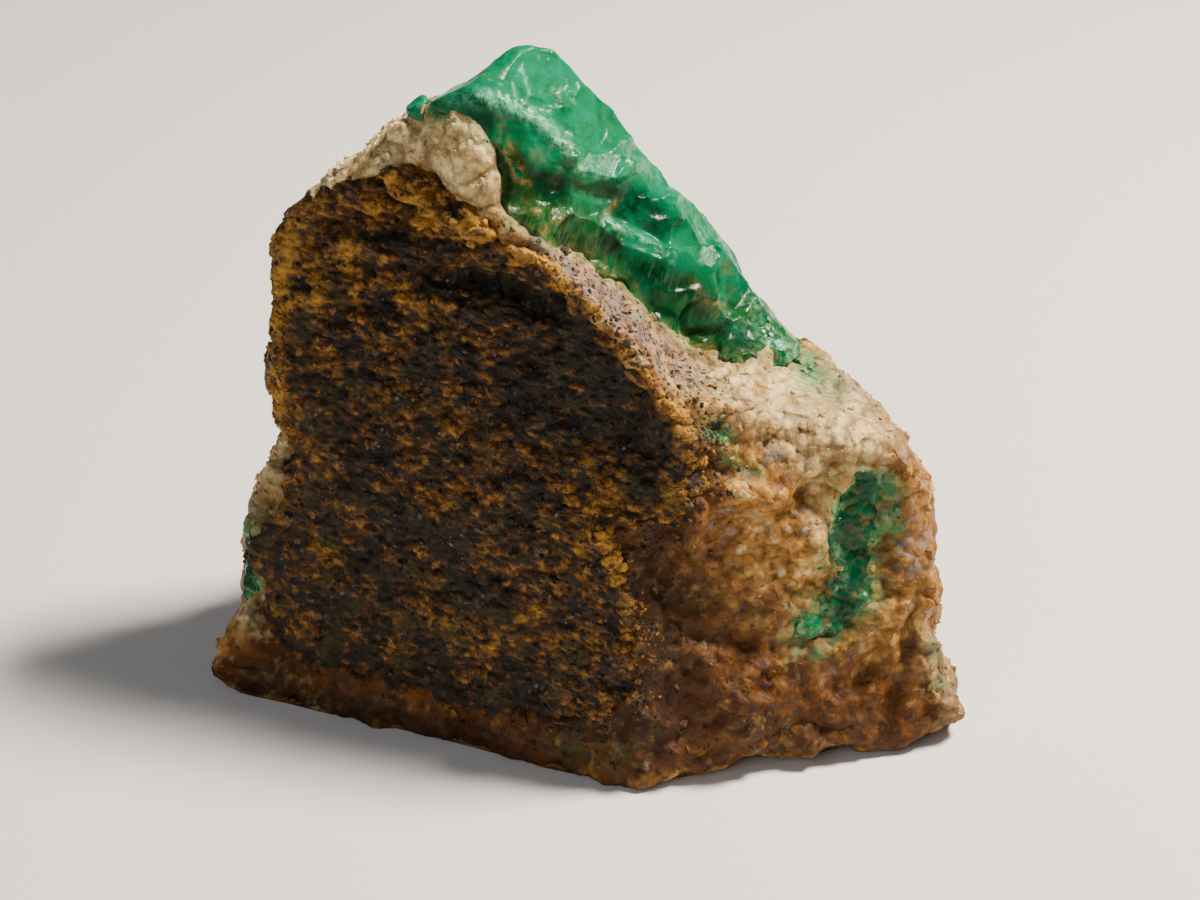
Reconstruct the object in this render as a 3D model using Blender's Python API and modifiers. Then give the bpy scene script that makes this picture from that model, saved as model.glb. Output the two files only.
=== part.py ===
# Emerald on matrix: a broken piece of pale feldspar rock with a slab of rusty mica schist
# on its front, one large emerald along its upper right edge and small emeralds set in it.
# Millimetres are used throughout and turned to metres as each mesh is made. +X is right,
# +Y is away from the viewer, +Z is up, and the rock stands on Z = 0.
import math

import bmesh
import bpy
import numpy as np
from mathutils import Matrix, Vector, noise

MM = 0.001

# Driving dimensions, in millimetres and degrees
VIEW_ELEVATION = 30.0  # the outlines are drawn as seen from this far above the horizon
VIEW_DISTANCE = 227.0  # and from this far from HEART
HEART = Vector((0.66, -1.8, 19.5))  # a point deep inside the rock, which all its faces are measured from
FIT_GAP = 0.3  # clearance between minerals that touch
EDGE_SHARPNESS = 38.0  # higher breaks the edges between fracture faces more sharply
OUTLINE_SHARPNESS = 60.0  # the same for the edges that make the outline
OUTLINE_ROUGHNESS = 0.5  # how deep the rock's lumps show where its sides run away from the viewer
OUTLINE_SLACK = 0.25
BASE_GRIND = 0.7  # how much of the underside is level
BODY_TRIANGLES = 7600
SCHIST_THICKNESS = 3.6
EMERALD_THICKNESS = 9.0
VEIN_THICKNESS = 2.4
GRAIN_THICKNESS = 3.0
FLOOR_UNEVENNESS = 0.35  # how much the depth of a mineral varies, as a share of it
FLOOR_GRAIN = 9.0
BLOCK_PROUD = 14.0  # how far above the rock a cutting block starts

SIN_VIEW = math.sin(math.radians(VIEW_ELEVATION))
COS_VIEW = math.cos(math.radians(VIEW_ELEVATION))
VIEW_AWAY = Vector((0.0, COS_VIEW, -SIN_VIEW))
VIEW_UP = Vector((0.0, SIN_VIEW, COS_VIEW))

# The rock's outline from the front, clockwise from the top, as (right, up) from HEART
ROCK_OUTLINE = [
    (-4.7, 34.0), (-3.1, 33.7), (-1.9, 32.8), (-0.5, 31.0), (1.8, 28.8), (4.0, 25.6), (6.2, 22.6),
    (8.8, 20.6),
    (10.6, 18.4), (12.0, 15.6), (14.4, 12.2), (16.0, 10.6), (18.6, 9.4), (21.4, 6.8), (24.0, 4.4),
    (25.6, 1.6), (27.2, -1.6), (27.4, -5.2), (27.2, -7.6), (28.0, -10.0), (27.2, -13.0),
    (28.4, -15.4), (29.7, -19.4), (27.2, -21.2), (25.2, -22.2), (20.8, -22.0), (16.0, -22.6),
    (12.0, -23.4), (8.0, -24.6), (4.0, -25.4), (0.0, -25.4), (-5.6, -24.2), (-9.6, -22.6),
    (-15.2, -20.8), (-20.8, -19.8), (-26.4, -18.8), (-29.4, -18.2), (-30.2, -16.2),
    (-29.0, -13.0), (-28.0, -10.8), (-27.5, -8.0), (-27.4, -4.0), (-26.0, -0.6), (-24.6, 2.8),
    (-25.6, 7.2), (-25.3, 11.2), (-25.1, 14.8), (-25.5, 18.0), (-23.7, 21.2), (-21.2, 23.2),
    (-18.8, 25.2), (-16.4, 27.2), (-14.2, 28.8), (-12.0, 29.8), (-10.0, 30.8), (-8.8, 31.6),
    (-6.9, 32.8), (-5.7, 33.6),
]

# Fracture faces, each as its outward normal and its distance from HEART
SCHIST_FACE = (Vector((-0.37, -0.90, 0.21)), 9.9)
LOWER_RIGHT_FACE = (Vector((0.249, -0.946, 0.208)), 13.5)
EMERALD_FACE = (Vector((0.541, -0.680, 0.496)), 11.7)
BAND_SHELF = (Vector((0.634, -0.279, 0.721)), 15.3)
SLAB_END = (Vector((0.797, -0.159, -0.582)), 3.85)
UPPER_RIGHT_SHELF = (Vector((0.337, -0.137, 0.931)), 14.7)
BASE = (Vector((0.0, 0.0, -1.0)), HEART.z + BASE_GRIND)

# Three blocks that grew together, each bounded in front by its own faces
FRONT_BLOCKS = {
    "emerald wedge": [SCHIST_FACE, LOWER_RIGHT_FACE, EMERALD_FACE],
    "schist slab": [SCHIST_FACE, BAND_SHELF, SLAB_END],
    "feldspar block": [SCHIST_FACE, LOWER_RIGHT_FACE, UPPER_RIGHT_SHELF],
}
BACK_FACES = {
    "back": (Vector((0.05, 0.97, 0.24)), 14.0),
    "back right": (Vector((0.75, 0.60, 0.28)), 21.0),
    "back left": (Vector((-0.60, 0.78, 0.15)), 23.0),
    "behind left foot": (Vector((-0.60, 0.50, -0.62)), 31.0),
    "behind right foot": (Vector((0.70, 0.60, -0.38)), 25.0),
    "base": BASE,
}

# Ridges (+) and grooves (-) on the front, as (right, up) points, half width and height
FRONT_RELIEF = {
    "schist rim": ([(-19.6, 22.0), (-15.2, 22.4), (-11.2, 20.4), (-5.6, 16.6), (-1.6, 13.6),
                    (2.4, 8.8), (6.4, 4.8)], 1.5, 1.3),
    "recess under the rim": ([(-13.0, 16.6), (-9.0, 15.6), (-5.0, 14.6), (-2.6, 12.6)], 1.2, -1.5),
    "front fold": ([(0.8, -4.8), (2.8, -9.6), (4.0, -14.4), (3.2, -20.0)], 1.8, 0.7),
    "schist hollow": ([(-2.0, 6.0), (4.0, 2.0)], 3.0, -0.6),
    "schist swell": ([(-16.0, 2.0), (-8.0, -4.0)], 5.0, 0.6),
    "pale knob": ([(-11.6, 27.4), (-9.6, 24.6), (-8.8, 21.8)], 2.2, 1.5),
    "hollow beside the knob": ([(-6.9, 26.4), (-6.2, 22.0)], 1.3, -1.5),
    "band groove": ([(-4.6, 18.6), (0.8, 14.9), (5.4, 11.4), (9.0, 8.6)], 1.4, -0.6),
    "shelf brow": ([(8.0, 6.4), (13.6, 6.6), (18.4, 4.6)], 2.2, 0.7),
    "pale boss": ([(20.2, 1.4), (23.2, 0.6)], 2.0, 1.0),
    "vein groove": ([(22.0, -1.8), (21.0, -5.6), (21.2, -9.6), (18.4, -12.2)], 1.4, -0.6),
    "belly": ([(11.0, -4.0), (15.4, -6.4)], 4.6, 0.9),
    "belly shadow": ([(8.0, -9.2), (14.8, -13.4)], 2.6, -0.8),
    "lower swell": ([(8.6, -17.6), (18.0, -17.4)], 3.4, 0.7),
    "right rim": ([(26.0, 2.0), (26.6, -4.0), (27.4, -10.4)], 1.8, 0.5),
    "right foot crease": ([(26.6, -13.2), (24.8, -17.6), (23.8, -21.6)], 1.3, -1.2),
    "left foot crease": ([(-27.4, -10.6), (-24.2, -13.6), (-20.8, -17.2)], 1.3, -1.0),
    "hook pit": ([(6.9, -12.2), (6.7, -13.4)], 0.9, -0.8),
    "emerald upper ledge": ([(-7.2, 29.0), (-3.6, 26.2), (0.0, 24.4), (4.8, 22.2), (8.0, 20.8)],
                            1.0, 0.9),
    "emerald upper hollow": ([(-5.4, 23.4), (-2.4, 21.8), (3.0, 21.6)], 1.6, -1.3),
    "emerald lower ledge": ([(2.6, 18.8), (5.8, 16.8), (9.2, 16.0)], 0.9, 0.8),
    "emerald lower hollow": ([(4.8, 13.8), (8.6, 12.4)], 1.5, -1.1),
    "emerald left hollow": ([(-2.6, 19.2), (0.8, 17.8)], 1.2, -0.8),
}

# The same for the back, in the same plane, so that right here is left from behind
BACK_RELIEF = {
    "spine": ([(-15.0, 19.0), (-5.0, 3.0), (4.0, -15.0)], 2.6, 1.5),
    "wide hollow": ([(8.0, 4.0), (12.0, -8.0)], 5.0, -1.7),
    "left hollow": ([(-18.0, 4.0), (-14.0, -8.0)], 4.0, -1.4),
    "ledge over the base": ([(-20.0, -9.0), (-8.0, -12.0), (16.0, -14.0)], 1.8, 1.1),
    "fracture": ([(-4.0, 22.0), (2.0, 10.0), (14.0, 0.0)], 1.1, -1.1),
}

# Outlines of the minerals on the front, as (right, up) points
SCHIST_OUTLINE = [
    (-20.8, 22.8), (-16.4, 24.6), (-13.2, 23.8), (-11.0, 21.2), (-7.2, 18.6), (-3.6, 16.0),
    (0.0, 12.8), (2.8, 9.0), (5.6, 6.2), (8.4, 3.2), (9.4, -0.8), (6.4, -3.6), (2.0, -5.2),
    (2.8, -9.6), (4.0, -13.6), (3.4, -17.4), (0.8, -19.6), (-4.0, -20.0), (-10.4, -18.4),
    (-16.8, -17.0), (-22.0, -15.4), (-24.6, -13.2), (-26.0, -9.6), (-26.2, -4.8), (-24.4, -1.6),
    (-23.2, 1.2), (-24.2, 3.6), (-30.0, 5.0), (-30.0, 20.0), (-24.4, 20.6),
]
EMERALD_OUTLINE = [
    (-12.4, 29.4), (-10.8, 28.6), (-8.8, 27.4), (-6.9, 26.2), (-6.1, 24.4), (-6.4, 20.8),
    (-3.6, 18.6), (0.8, 16.2), (3.0, 15.5), (3.5, 13.9), (5.8, 12.2), (8.2, 9.9), (11.6, 9.2),
    (14.2, 9.8), (16.2, 10.4), (22.0, 16.0), (14.0, 32.0), (0.0, 42.0), (-14.0, 40.0),
    (-14.6, 33.0),
]
VEIN_OUTLINE = [
    (21.6, 0.2), (23.2, -0.8), (23.4, -3.4), (22.3, -6.0), (22.5, -9.6), (21.4, -11.4),
    (18.9, -12.9), (16.9, -12.9), (17.2, -11.7), (19.5, -10.7), (20.4, -8.8), (19.7, -5.8),
    (20.3, -2.4),
]
LEFT_GRAIN_OUTLINE = [(-31.0, -4.0), (-26.9, -4.6), (-26.4, -7.2), (-27.1, -9.6), (-31.0, -10.2)]

# A small emerald prism that stands on the skyline behind the pale knob
TIP_CRYSTAL = {"radius": 1.05, "length": 4.4, "lean": 32.0, "place": (-12.7, 27.7), "depth": -11.6}


def unit(face):
    """A fracture face with its normal made one long."""
    normal, distance = face
    return np.array(normal.normalized()), distance


def face_reach(directions, face):
    """How far each direction runs from HEART before it meets the face."""
    normal, distance = unit(face)
    facing = directions @ normal
    return np.where(facing > 1e-3, distance / np.maximum(facing, 1e-3), 1e3)


def outline_reach(directions):
    """How far each direction runs before it leaves the rock's outline."""
    across = directions[:, 0]
    upward = directions @ np.array(VIEW_UP)
    outline = np.array(ROCK_OUTLINE)
    angle = np.arctan2(outline[:, 1], outline[:, 0])
    radius = np.hypot(outline[:, 0], outline[:, 1])
    order = np.argsort(angle)
    bearing = np.arctan2(upward, across)
    in_plane = np.interp(bearing, angle[order], radius[order], period=2 * math.pi)
    spread = np.hypot(across, upward) - in_plane * (directions @ np.array(VIEW_AWAY)) / VIEW_DISTANCE
    return in_plane / np.maximum(spread, 1e-3)


def soft_min(reaches, sharpness=EDGE_SHARPNESS):
    """The least of several reaches, rounded where two of them are alike."""
    reaches = np.array(reaches)
    least = reaches.min(axis=0)
    return least * np.sum((reaches / least) ** -sharpness, axis=0) ** (-1 / sharpness)


def seen_from_front(points):
    """Where each point appears in the plane of the outlines."""
    nearness = VIEW_DISTANCE / (VIEW_DISTANCE + points @ np.array(VIEW_AWAY))
    return points[:, 0] * nearness, (points @ np.array(VIEW_UP)) * nearness


def rock_reach(directions):
    """The distance from HEART to the rock's broken surface."""
    blocks = [soft_min([face_reach(directions, face) for face in faces])
              for faces in FRONT_BLOCKS.values()]
    envelope = [face_reach(directions, face) for face in BACK_FACES.values()]
    broken = soft_min([np.max(blocks, axis=0), *envelope])
    sides = outline_reach(directions)
    points = directions * np.minimum(broken, sides)[:, None]
    rough = np.array([rough_height(Vector(point)) for point in points])
    broken += relief(points, directions) + rough
    sides += OUTLINE_SLACK - np.abs(rough) * OUTLINE_ROUGHNESS
    return soft_min([broken, sides], OUTLINE_SHARPNESS)


def distance_to_line(across, upward, line):
    """Distance in the outline's plane from each point to a line of several points."""
    nearest = np.full(len(across), 1e3)
    for (x0, y0), (x1, y1) in zip(line, line[1:]):
        run, rise = x1 - x0, y1 - y0
        along = ((across - x0) * run + (upward - y0) * rise) / (run * run + rise * rise)
        along = np.clip(along, 0.0, 1.0)
        nearest = np.minimum(nearest, np.hypot(across - x0 - along * run, upward - y0 - along * rise))
    return nearest


def relief(points, directions):
    """Height of the ridges and grooves at each point of the front and the back."""
    across, upward = seen_from_front(points)
    away = directions @ np.array(VIEW_AWAY)
    height = np.zeros(len(points))
    for features, facing in ((FRONT_RELIEF, -away), (BACK_RELIEF, away)):
        fade = np.clip(facing / 0.3, 0.0, 1.0)
        for line, width, rise in features.values():
            height += fade * rise * np.exp(-(distance_to_line(across, upward, line) / width) ** 2)
    return height


def rubble(point, grain, depth):
    """Layered noise with lumps about one grain across."""
    return noise.fractal(point / grain, 0.9, 2.1, depth, noise_basis="PERLIN_NEW")


def rough_height(point):
    """Height of the broken texture at a point: lumpy on feldspar, flatter on the schist and emerald."""
    normal, distance = SCHIST_FACE
    off_schist = min(1.0, max(0.0, (distance - point.dot(normal.normalized())) / 6.0))
    normal, distance = EMERALD_FACE
    off_emerald = min(1.0, max(0.0, abs(distance - point.dot(normal.normalized())) / 3.0))
    lumpy = 0.3 + 0.7 * min(off_schist, 0.4 + 0.6 * off_emerald)
    coarse = rubble(point, 10.0, 2)
    fine = rubble(point + Vector((40, 0, 0)), 4.5, 2)
    return lumpy * (1.6 * coarse + 1.3 * fine)


def rock_body():
    """The whole rock as one closed mesh, before the minerals are parted."""
    bpy.ops.mesh.primitive_ico_sphere_add(subdivisions=7, radius=1.0)
    rock = bpy.context.object
    rock.name = "rock_body"
    count = len(rock.data.vertices)
    directions = np.empty(count * 3, np.float32)
    rock.data.vertices.foreach_get("co", directions)
    directions = directions.reshape(-1, 3).astype(float)
    directions /= np.linalg.norm(directions, axis=1, keepdims=True)
    reach = rock_reach(directions)
    points = (directions * reach[:, None] + np.array(HEART)) * MM
    rock.data.vertices.foreach_set("co", points.astype(np.float32).ravel())
    thin = rock.modifiers.new("Fewer faces", "DECIMATE")
    thin.ratio = BODY_TRIANGLES / len(rock.data.polygons)
    baked(rock)
    level_base(rock)
    return rock


def level_base(rock):
    """Cuts the underside flat at Z = 0, so that the rock rests on it."""
    size = 120 * MM
    bpy.ops.mesh.primitive_cube_add(size=size, location=(0, 0, -size / 2))
    ground = helper(bpy.context.object)
    combine(rock, ground, "DIFFERENCE")
    baked(rock)


def baked(thing):
    """Replaces an object by the mesh that its modifiers make, under the same name."""
    graph = bpy.context.evaluated_depsgraph_get()
    mesh = bpy.data.meshes.new_from_object(thing.evaluated_get(graph))
    thing.modifiers.clear()
    thing.data = mesh
    return thing


def on_face(point, face, sink):
    """Where the viewer's line through a point of the outlines' plane is sunk this far in a face."""
    normal, distance = face
    normal = normal.normalized()
    eye = VIEW_AWAY * -VIEW_DISTANCE
    line = Vector((point.x, 0.0, 0.0)) + VIEW_UP * point.y - eye
    return eye + line * ((distance - sink - eye.dot(normal)) / line.dot(normal))


def grown_outline(outline, grow):
    """An outline moved outwards by the same distance all round, and by twice that at sharp corners."""
    points = [Vector(point) for point in outline]
    area = sum(a.x * b.y - b.x * a.y for a, b in zip(points, points[1:] + points[:1]))
    side = 1.0 if area > 0 else -1.0
    moved = []
    for before, here, after in zip(points[-1:] + points[:-1], points, points[1:] + points[:1]):
        first = (here - before).normalized()
        second = (after - here).normalized()
        outward = Vector((first.y + second.y, -first.x - second.x)).normalized() * side
        spread = max(0.5, outward.dot(Vector((first.y, -first.x)) * side))
        moved.append(here + outward * (grow / spread))
    return moved


def zone(name, outline, face, depth, grow=0.0):
    """A closed block that holds one mineral: its outline, from above the face down to its depth.

    A pocket is the same block grown by the clearance, and its floor lies twice that deeper.
    """
    mesh = bmesh.new()
    edge = grown_outline(outline, grow)
    lid = mesh.faces.new([mesh.verts.new((on_face(point, face, -BLOCK_PROUD) + HEART) * MM)
                          for point in edge])
    walls = bmesh.ops.extrude_face_region(mesh, geom=[lid])
    floor = [item for item in walls["geom"] if isinstance(item, bmesh.types.BMFace)]
    corners = [item for item in walls["geom"] if isinstance(item, bmesh.types.BMVert)]
    for corner, point, drawn in zip(corners, edge, outline):
        uneven = FLOOR_UNEVENNESS * depth * noise.noise(Vector((*drawn, 0.0)) / FLOOR_GRAIN)
        corner.co = (on_face(point, face, depth + uneven + 2 * grow) + HEART) * MM
    bmesh.ops.poke(mesh, faces=floor)
    bmesh.ops.triangulate(mesh, faces=mesh.faces[:], quad_method="FIXED")
    bmesh.ops.recalc_face_normals(mesh, faces=mesh.faces[:])
    data = bpy.data.meshes.new(name)
    mesh.to_mesh(data)
    mesh.free()
    return helper(bpy.data.objects.new(name, data))


def move_to(thing, collection):
    """Puts an object in one collection only."""
    for owner in list(thing.users_collection):
        owner.objects.unlink(thing)
    bpy.data.collections[collection].objects.link(thing)


def helper(thing):
    """Marks an object as a cutter, which isn't part of the specimen."""
    move_to(thing, "cutters")
    thing.hide_render = True
    thing.display_type = "WIRE"
    return thing


def crystal_prism(name, grow=0.0):
    """A six-sided prism with a bevelled end, the natural habit of emerald."""
    radius = TIP_CRYSTAL["radius"] + grow
    bpy.ops.mesh.primitive_cylinder_add(vertices=6, radius=radius * MM,
                                        depth=(TIP_CRYSTAL["length"] + 2 * grow) * MM)
    prism = bpy.context.object
    prism.name = name
    across, upward = TIP_CRYSTAL["place"]
    nearness = (VIEW_DISTANCE + TIP_CRYSTAL["depth"]) / VIEW_DISTANCE
    in_plane = Vector((across, 0.0, 0.0)) + VIEW_UP * upward
    place = in_plane * nearness + VIEW_AWAY * TIP_CRYSTAL["depth"]
    lean = math.radians(TIP_CRYSTAL["lean"])
    turn = Matrix.Rotation(-lean, 4, "Y") @ Matrix.Rotation(math.radians(14), 4, "Z")
    prism.data.transform(Matrix.Translation((place + HEART) * MM) @ turn)
    prism.location = (0, 0, 0)
    if grow == 0.0:
        edge = prism.modifiers.new("Worn edges", "BEVEL")
        edge.width = 0.22 * MM
        edge.segments = 1
    return prism


def combine(thing, other, operation):
    """Cuts, joins or keeps the shared part of a mesh with another one."""
    change = thing.modifiers.new(operation.title(), "BOOLEAN")
    change.operation = operation
    change.object = other
    change.solver = "EXACT"


def mineral_piece(name, rock, block, material):
    """The part of the rock inside a block, as its own object."""
    piece = bpy.data.objects.new(name, rock.data.copy())
    move_to(piece, "emerald specimen")
    combine(piece, block, "INTERSECT")
    baked(piece)
    finish_piece(piece, material)


def finish_piece(piece, material):
    """Gives a piece its one material and the sharp faces of broken stone."""
    piece.data.materials.clear()
    piece.data.materials.append(material)
    for polygon in piece.data.polygons:
        polygon.material_index = 0
    piece.data.shade_smooth()
    piece.data.set_sharp_from_angle(angle=math.radians(32))


def stone_material(name, colour, roughness):
    """A plain mineral surface."""
    material = bpy.data.materials.new(name)
    material.use_nodes = True
    surface = material.node_tree.nodes["Principled BSDF"]
    surface.inputs["Base Color"].default_value = (*colour, 1.0)
    surface.inputs["Roughness"].default_value = roughness
    surface.inputs["Metallic"].default_value = 0.0
    return material


def start_scene():
    """An empty scene with one collection for the specimen and one for its cutters."""
    for thing in list(bpy.data.objects):
        bpy.data.objects.remove(thing)
    for name in ("emerald specimen", "cutters"):
        bpy.context.scene.collection.children.link(bpy.data.collections.new(name))


def build_specimen():
    start_scene()
    feldspar = stone_material("feldspar", (0.52, 0.41, 0.30), 0.8)
    schist = stone_material("mica schist", (0.16, 0.085, 0.03), 0.65)
    emerald = stone_material("emerald", (0.02, 0.30, 0.16), 0.25)

    rock = rock_body()
    minerals = [
        ("mica_schist", SCHIST_OUTLINE, SCHIST_FACE, SCHIST_THICKNESS, schist),
        ("emerald_crystal", EMERALD_OUTLINE, EMERALD_FACE, EMERALD_THICKNESS, emerald),
        ("emerald_vein", VEIN_OUTLINE, LOWER_RIGHT_FACE, VEIN_THICKNESS, emerald),
        ("emerald_left_grain", LEFT_GRAIN_OUTLINE, SCHIST_FACE, GRAIN_THICKNESS, emerald),
    ]
    pockets = []
    for name, outline, face, depth, material in minerals:
        mineral_piece(name, rock, zone(name + "_zone", outline, face, depth), material)
        pockets.append(zone(name + "_pocket", outline, face, depth, grow=FIT_GAP))

    tip = crystal_prism("emerald_tip")
    finish_piece(baked(tip), emerald)
    move_to(tip, "emerald specimen")
    pockets.append(helper(crystal_prism("emerald_tip_pocket", grow=FIT_GAP)))

    rock.name = "feldspar_matrix"
    move_to(rock, "emerald specimen")
    for pocket in pockets:
        combine(rock, pocket, "DIFFERENCE")
        baked(rock)
    finish_piece(rock, feldspar)


build_specimen()
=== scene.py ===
import contextlib
import itertools
import math

import bpy
import numpy as np
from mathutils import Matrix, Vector, noise
from mathutils.bvhtree import BVHTree


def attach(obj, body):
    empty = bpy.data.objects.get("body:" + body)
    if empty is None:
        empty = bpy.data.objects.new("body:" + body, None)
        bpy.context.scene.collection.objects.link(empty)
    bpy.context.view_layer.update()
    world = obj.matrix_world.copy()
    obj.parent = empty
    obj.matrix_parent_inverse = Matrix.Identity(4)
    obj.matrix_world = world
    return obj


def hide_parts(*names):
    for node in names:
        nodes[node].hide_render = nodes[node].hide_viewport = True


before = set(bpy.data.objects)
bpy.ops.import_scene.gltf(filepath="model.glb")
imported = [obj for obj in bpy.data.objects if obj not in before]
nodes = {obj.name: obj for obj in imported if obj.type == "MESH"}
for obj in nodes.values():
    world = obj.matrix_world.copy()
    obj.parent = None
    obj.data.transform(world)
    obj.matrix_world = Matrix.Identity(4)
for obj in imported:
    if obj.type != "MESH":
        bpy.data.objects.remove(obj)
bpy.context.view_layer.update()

# A broken hand specimen: pale feldspar rock, a slab of rusty mica schist on its front and
# a cloudy emerald along its upper right edge. Lengths are in metres unless a note says mm.
mm = 0.001

# The photograph looks down at the front of the rock. Marks are placed by the pixel where they
# show in its 1200 x 900 frame, and fall on whatever surface faces the camera there.
view = {
    "elevation": 30,                       # degrees above the floor
    "distance": 226.7 * mm,                # from the heart of the rock
    "lens": 85,                            # mm
    "sensor": 36,                          # mm
    "heart": Vector((0.66, -1.8, 19.5)) * mm,
    "heartPixel": (590, 470),
    "middlePixel": (600, 450),
    "pixelsPerMm": 12.5,
}
slope = math.radians(view["elevation"])
awayFromCamera = Vector((0, math.cos(slope), -math.sin(slope)))
upInView = Vector((0, math.sin(slope), math.cos(slope)))
heart, away, up = np.array(view["heart"]), np.array(awayFromCamera), np.array(upInView)
mineralNodes = ["mica_schist", "emerald_crystal", "emerald_vein", "emerald_left_grain", "emerald_tip"]


def say(stage):
    print("emerald specimen:", stage)


def linear(hexColour):
    # sRGB hex to the linear values that Blender's sockets take
    parts = [int(hexColour[i:i + 2], 16) / 255 for i in (1, 3, 5)]
    return [*(c / 12.92 if c <= 0.04045 else ((c + 0.055) / 1.055) ** 2.4 for c in parts), 1]


def deselectAll():
    for thing in bpy.context.selected_objects:
        thing.select_set(False)


def makeActive(thing):
    deselectAll()
    thing.select_set(True)
    bpy.context.view_layer.objects.active = thing


@contextlib.contextmanager
def editing(thing):
    makeActive(thing)
    bpy.ops.object.mode_set(mode="EDIT")
    yield
    bpy.ops.object.mode_set(mode="OBJECT")


def applyModifier(thing, kind, **settings):
    makeActive(thing)
    modifier = thing.modifiers.new(kind.title(), kind)
    for name, value in settings.items():
        setattr(modifier, name, value)
    bpy.ops.object.modifier_apply(modifier=modifier.name)


def copyOf(thing, name):
    copy = thing.copy()
    copy.data = thing.data.copy()
    copy.name = name
    bpy.context.scene.collection.objects.link(copy)
    return copy


def trianglesOf(thing):
    return sum(len(p.vertices) - 2 for p in thing.data.polygons)


def numbersOf(items, name, wide):
    numbers = np.empty(len(items) * wide, np.float32)
    items.foreach_get(name, numbers)
    return numbers.reshape(-1, wide).astype(float)


def pointsOf(thing):
    return numbersOf(thing.data.vertices, "co", 3)


def normalsOf(thing):
    return numbersOf(thing.data.vertex_normals, "vector", 3)


def movePoints(thing, points):
    points[:, 2] = np.maximum(points[:, 2], 0)  # nothing sinks into the floor
    thing.data.vertices.foreach_set("co", points.astype(np.float32).ravel())
    thing.data.update()


def raisePoints(thing, points, normals, lift):
    # moves the points this many mm out of the surface, in the given array as well
    points += normals * (lift * mm)[:, None]
    movePoints(thing, points)


def paint(thing, name, values):
    # keeps a number for each point, which the material reads by name
    layer = thing.data.attributes.get(name) or thing.data.attributes.new(name, "FLOAT", "POINT")
    layer.data.foreach_set("value", values.astype(np.float32))


def paintAmounts(thing, **amounts):
    # the same for amounts held from 0 to 1, each one number for the whole piece or one a point
    for name, amount in amounts.items():
        paint(thing, name, np.clip(np.broadcast_to(amount, len(thing.data.vertices)), 0, 1))


def painted(thing, name):
    return numbersOf(thing.data.attributes[name].data, "value", 1)[:, 0]


def smoothStep(values, start, end):
    t = np.clip((values - start) / (end - start), 0, 1)
    return t * t * (3 - 2 * t)


# Patterns that stand on the rock itself, sized in mm

def cellNumbers(cell, seed):
    # three random numbers from 0 to 1, the same each time for one whole-number cell
    n = cell[:, 0] * 73856093 ^ cell[:, 1] * 19349663 ^ cell[:, 2] * 83492791 ^ seed * 2654435761
    n = (n ^ (n >> 13)) * 1274126177 & 0xffffffff
    n = (n ^ (n >> 16)) * 668265263 & 0xffffffff
    n ^= n >> 15
    return np.stack([n & 1023, n >> 10 & 1023, n >> 20 & 1023], axis=1) / 1023


def brokenCells(points, size, seed, stretch=(1, 1, 1), tilt=0.6):
    # hollow cells with sharp ridges between them, each tilted its own way, as glassy stone breaks.
    # Taken the other way up they are grains with creases between. It gives the height, how far
    # each point is from a ridge, and three random numbers for the cell
    scaled = points / mm / size / np.array(stretch)
    corner = np.floor(scaled).astype(np.int64)
    lowest = np.full(len(points), 9.0)
    second = lowest.copy()
    own = np.zeros_like(scaled)
    for step in itertools.product((-1, 0, 1), repeat=3):
        cell = corner + np.array(step)
        random = cellNumbers(cell, seed + 1)
        offset = scaled - cell - cellNumbers(cell, seed)
        level = np.sum(offset * (offset + tilt * (random * 2 - 1)), axis=1) + 0.25 * random[:, 0]
        closer = level < lowest
        second = np.where(closer, lowest, np.minimum(second, level))
        own[closer] = random[closer]
        lowest = np.minimum(lowest, level)
    return lowest - 0.25, second - lowest, own


def lumpsAt(points, size, octaves=3, seed=0.0):
    # smooth layered noise from about -1 to 1, with lumps this many mm across
    shifted = points / mm / size + seed * 17.3
    return np.array([noise.fractal(p, 0.8, 2.1, octaves) for p in shifted.tolist()])


# Marks by their place in the photograph

def photoPixels(points):
    fromHeart = points - heart
    scale = view["pixelsPerMm"] / mm * view["distance"] / (view["distance"] + fromHeart @ away)
    return (view["heartPixel"][0] + fromHeart[:, 0] * scale,
            view["heartPixel"][1] - fromHeart @ up * scale)


def markStrength(points, normals, marks):
    # how strongly each point lies under the marks, each a line of pixels, a half width in mm and
    # a strength, on the side that faces the camera
    across, down = photoPixels(points)
    total = np.zeros(len(points))
    for line, width, strength in marks.values():
        nearest = np.full(len(points), 1e6)
        for (x0, y0), (x1, y1) in zip(line, line[1:] or line):
            run, rise = x1 - x0, y1 - y0
            along = ((across - x0) * run + (down - y0) * rise) / max(run * run + rise * rise, 1e-6)
            along = np.clip(along, 0, 1)
            gap = np.hypot(across - x0 - along * run, down - y0 - along * rise)
            nearest = np.minimum(nearest, gap)
        total += strength * np.exp(-(nearest / view["pixelsPerMm"] / width) ** 2)
    return total * smoothStep(-(normals @ away), -0.05, 0.25)


def cleave(points, normals, cuts):
    # cuts flat faces where the stone split, each at a pixel, with a reach in pixels, leaning this
    # much more to the right and upwards than the surface, and this many mm below it. It gives
    # how flat each point has become
    across, down = photoPixels(points)
    facing = -(normals @ away)
    flat = np.zeros(len(points))
    for (x, y), reach, (right, upwards), sink in cuts.values():
        gap = np.hypot(across - x, down - y)
        under = (gap < 0.4 * reach) & (facing > 0)
        if not under.any():
            continue
        face = normals[under].mean(axis=0) + np.array((right, 0, 0)) + up * upwards
        face /= np.linalg.norm(face)
        above = (points - points[under].mean(axis=0)) @ face + sink * mm
        fade = (1 - smoothStep(gap, 0.7 * reach, reach)) * (facing > -0.2)
        cut = np.maximum(above, 0) * fade
        points -= face * cut[:, None]
        flat = np.maximum(flat, fade * (cut > 0))
    return flat


# Helpers for every material

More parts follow.
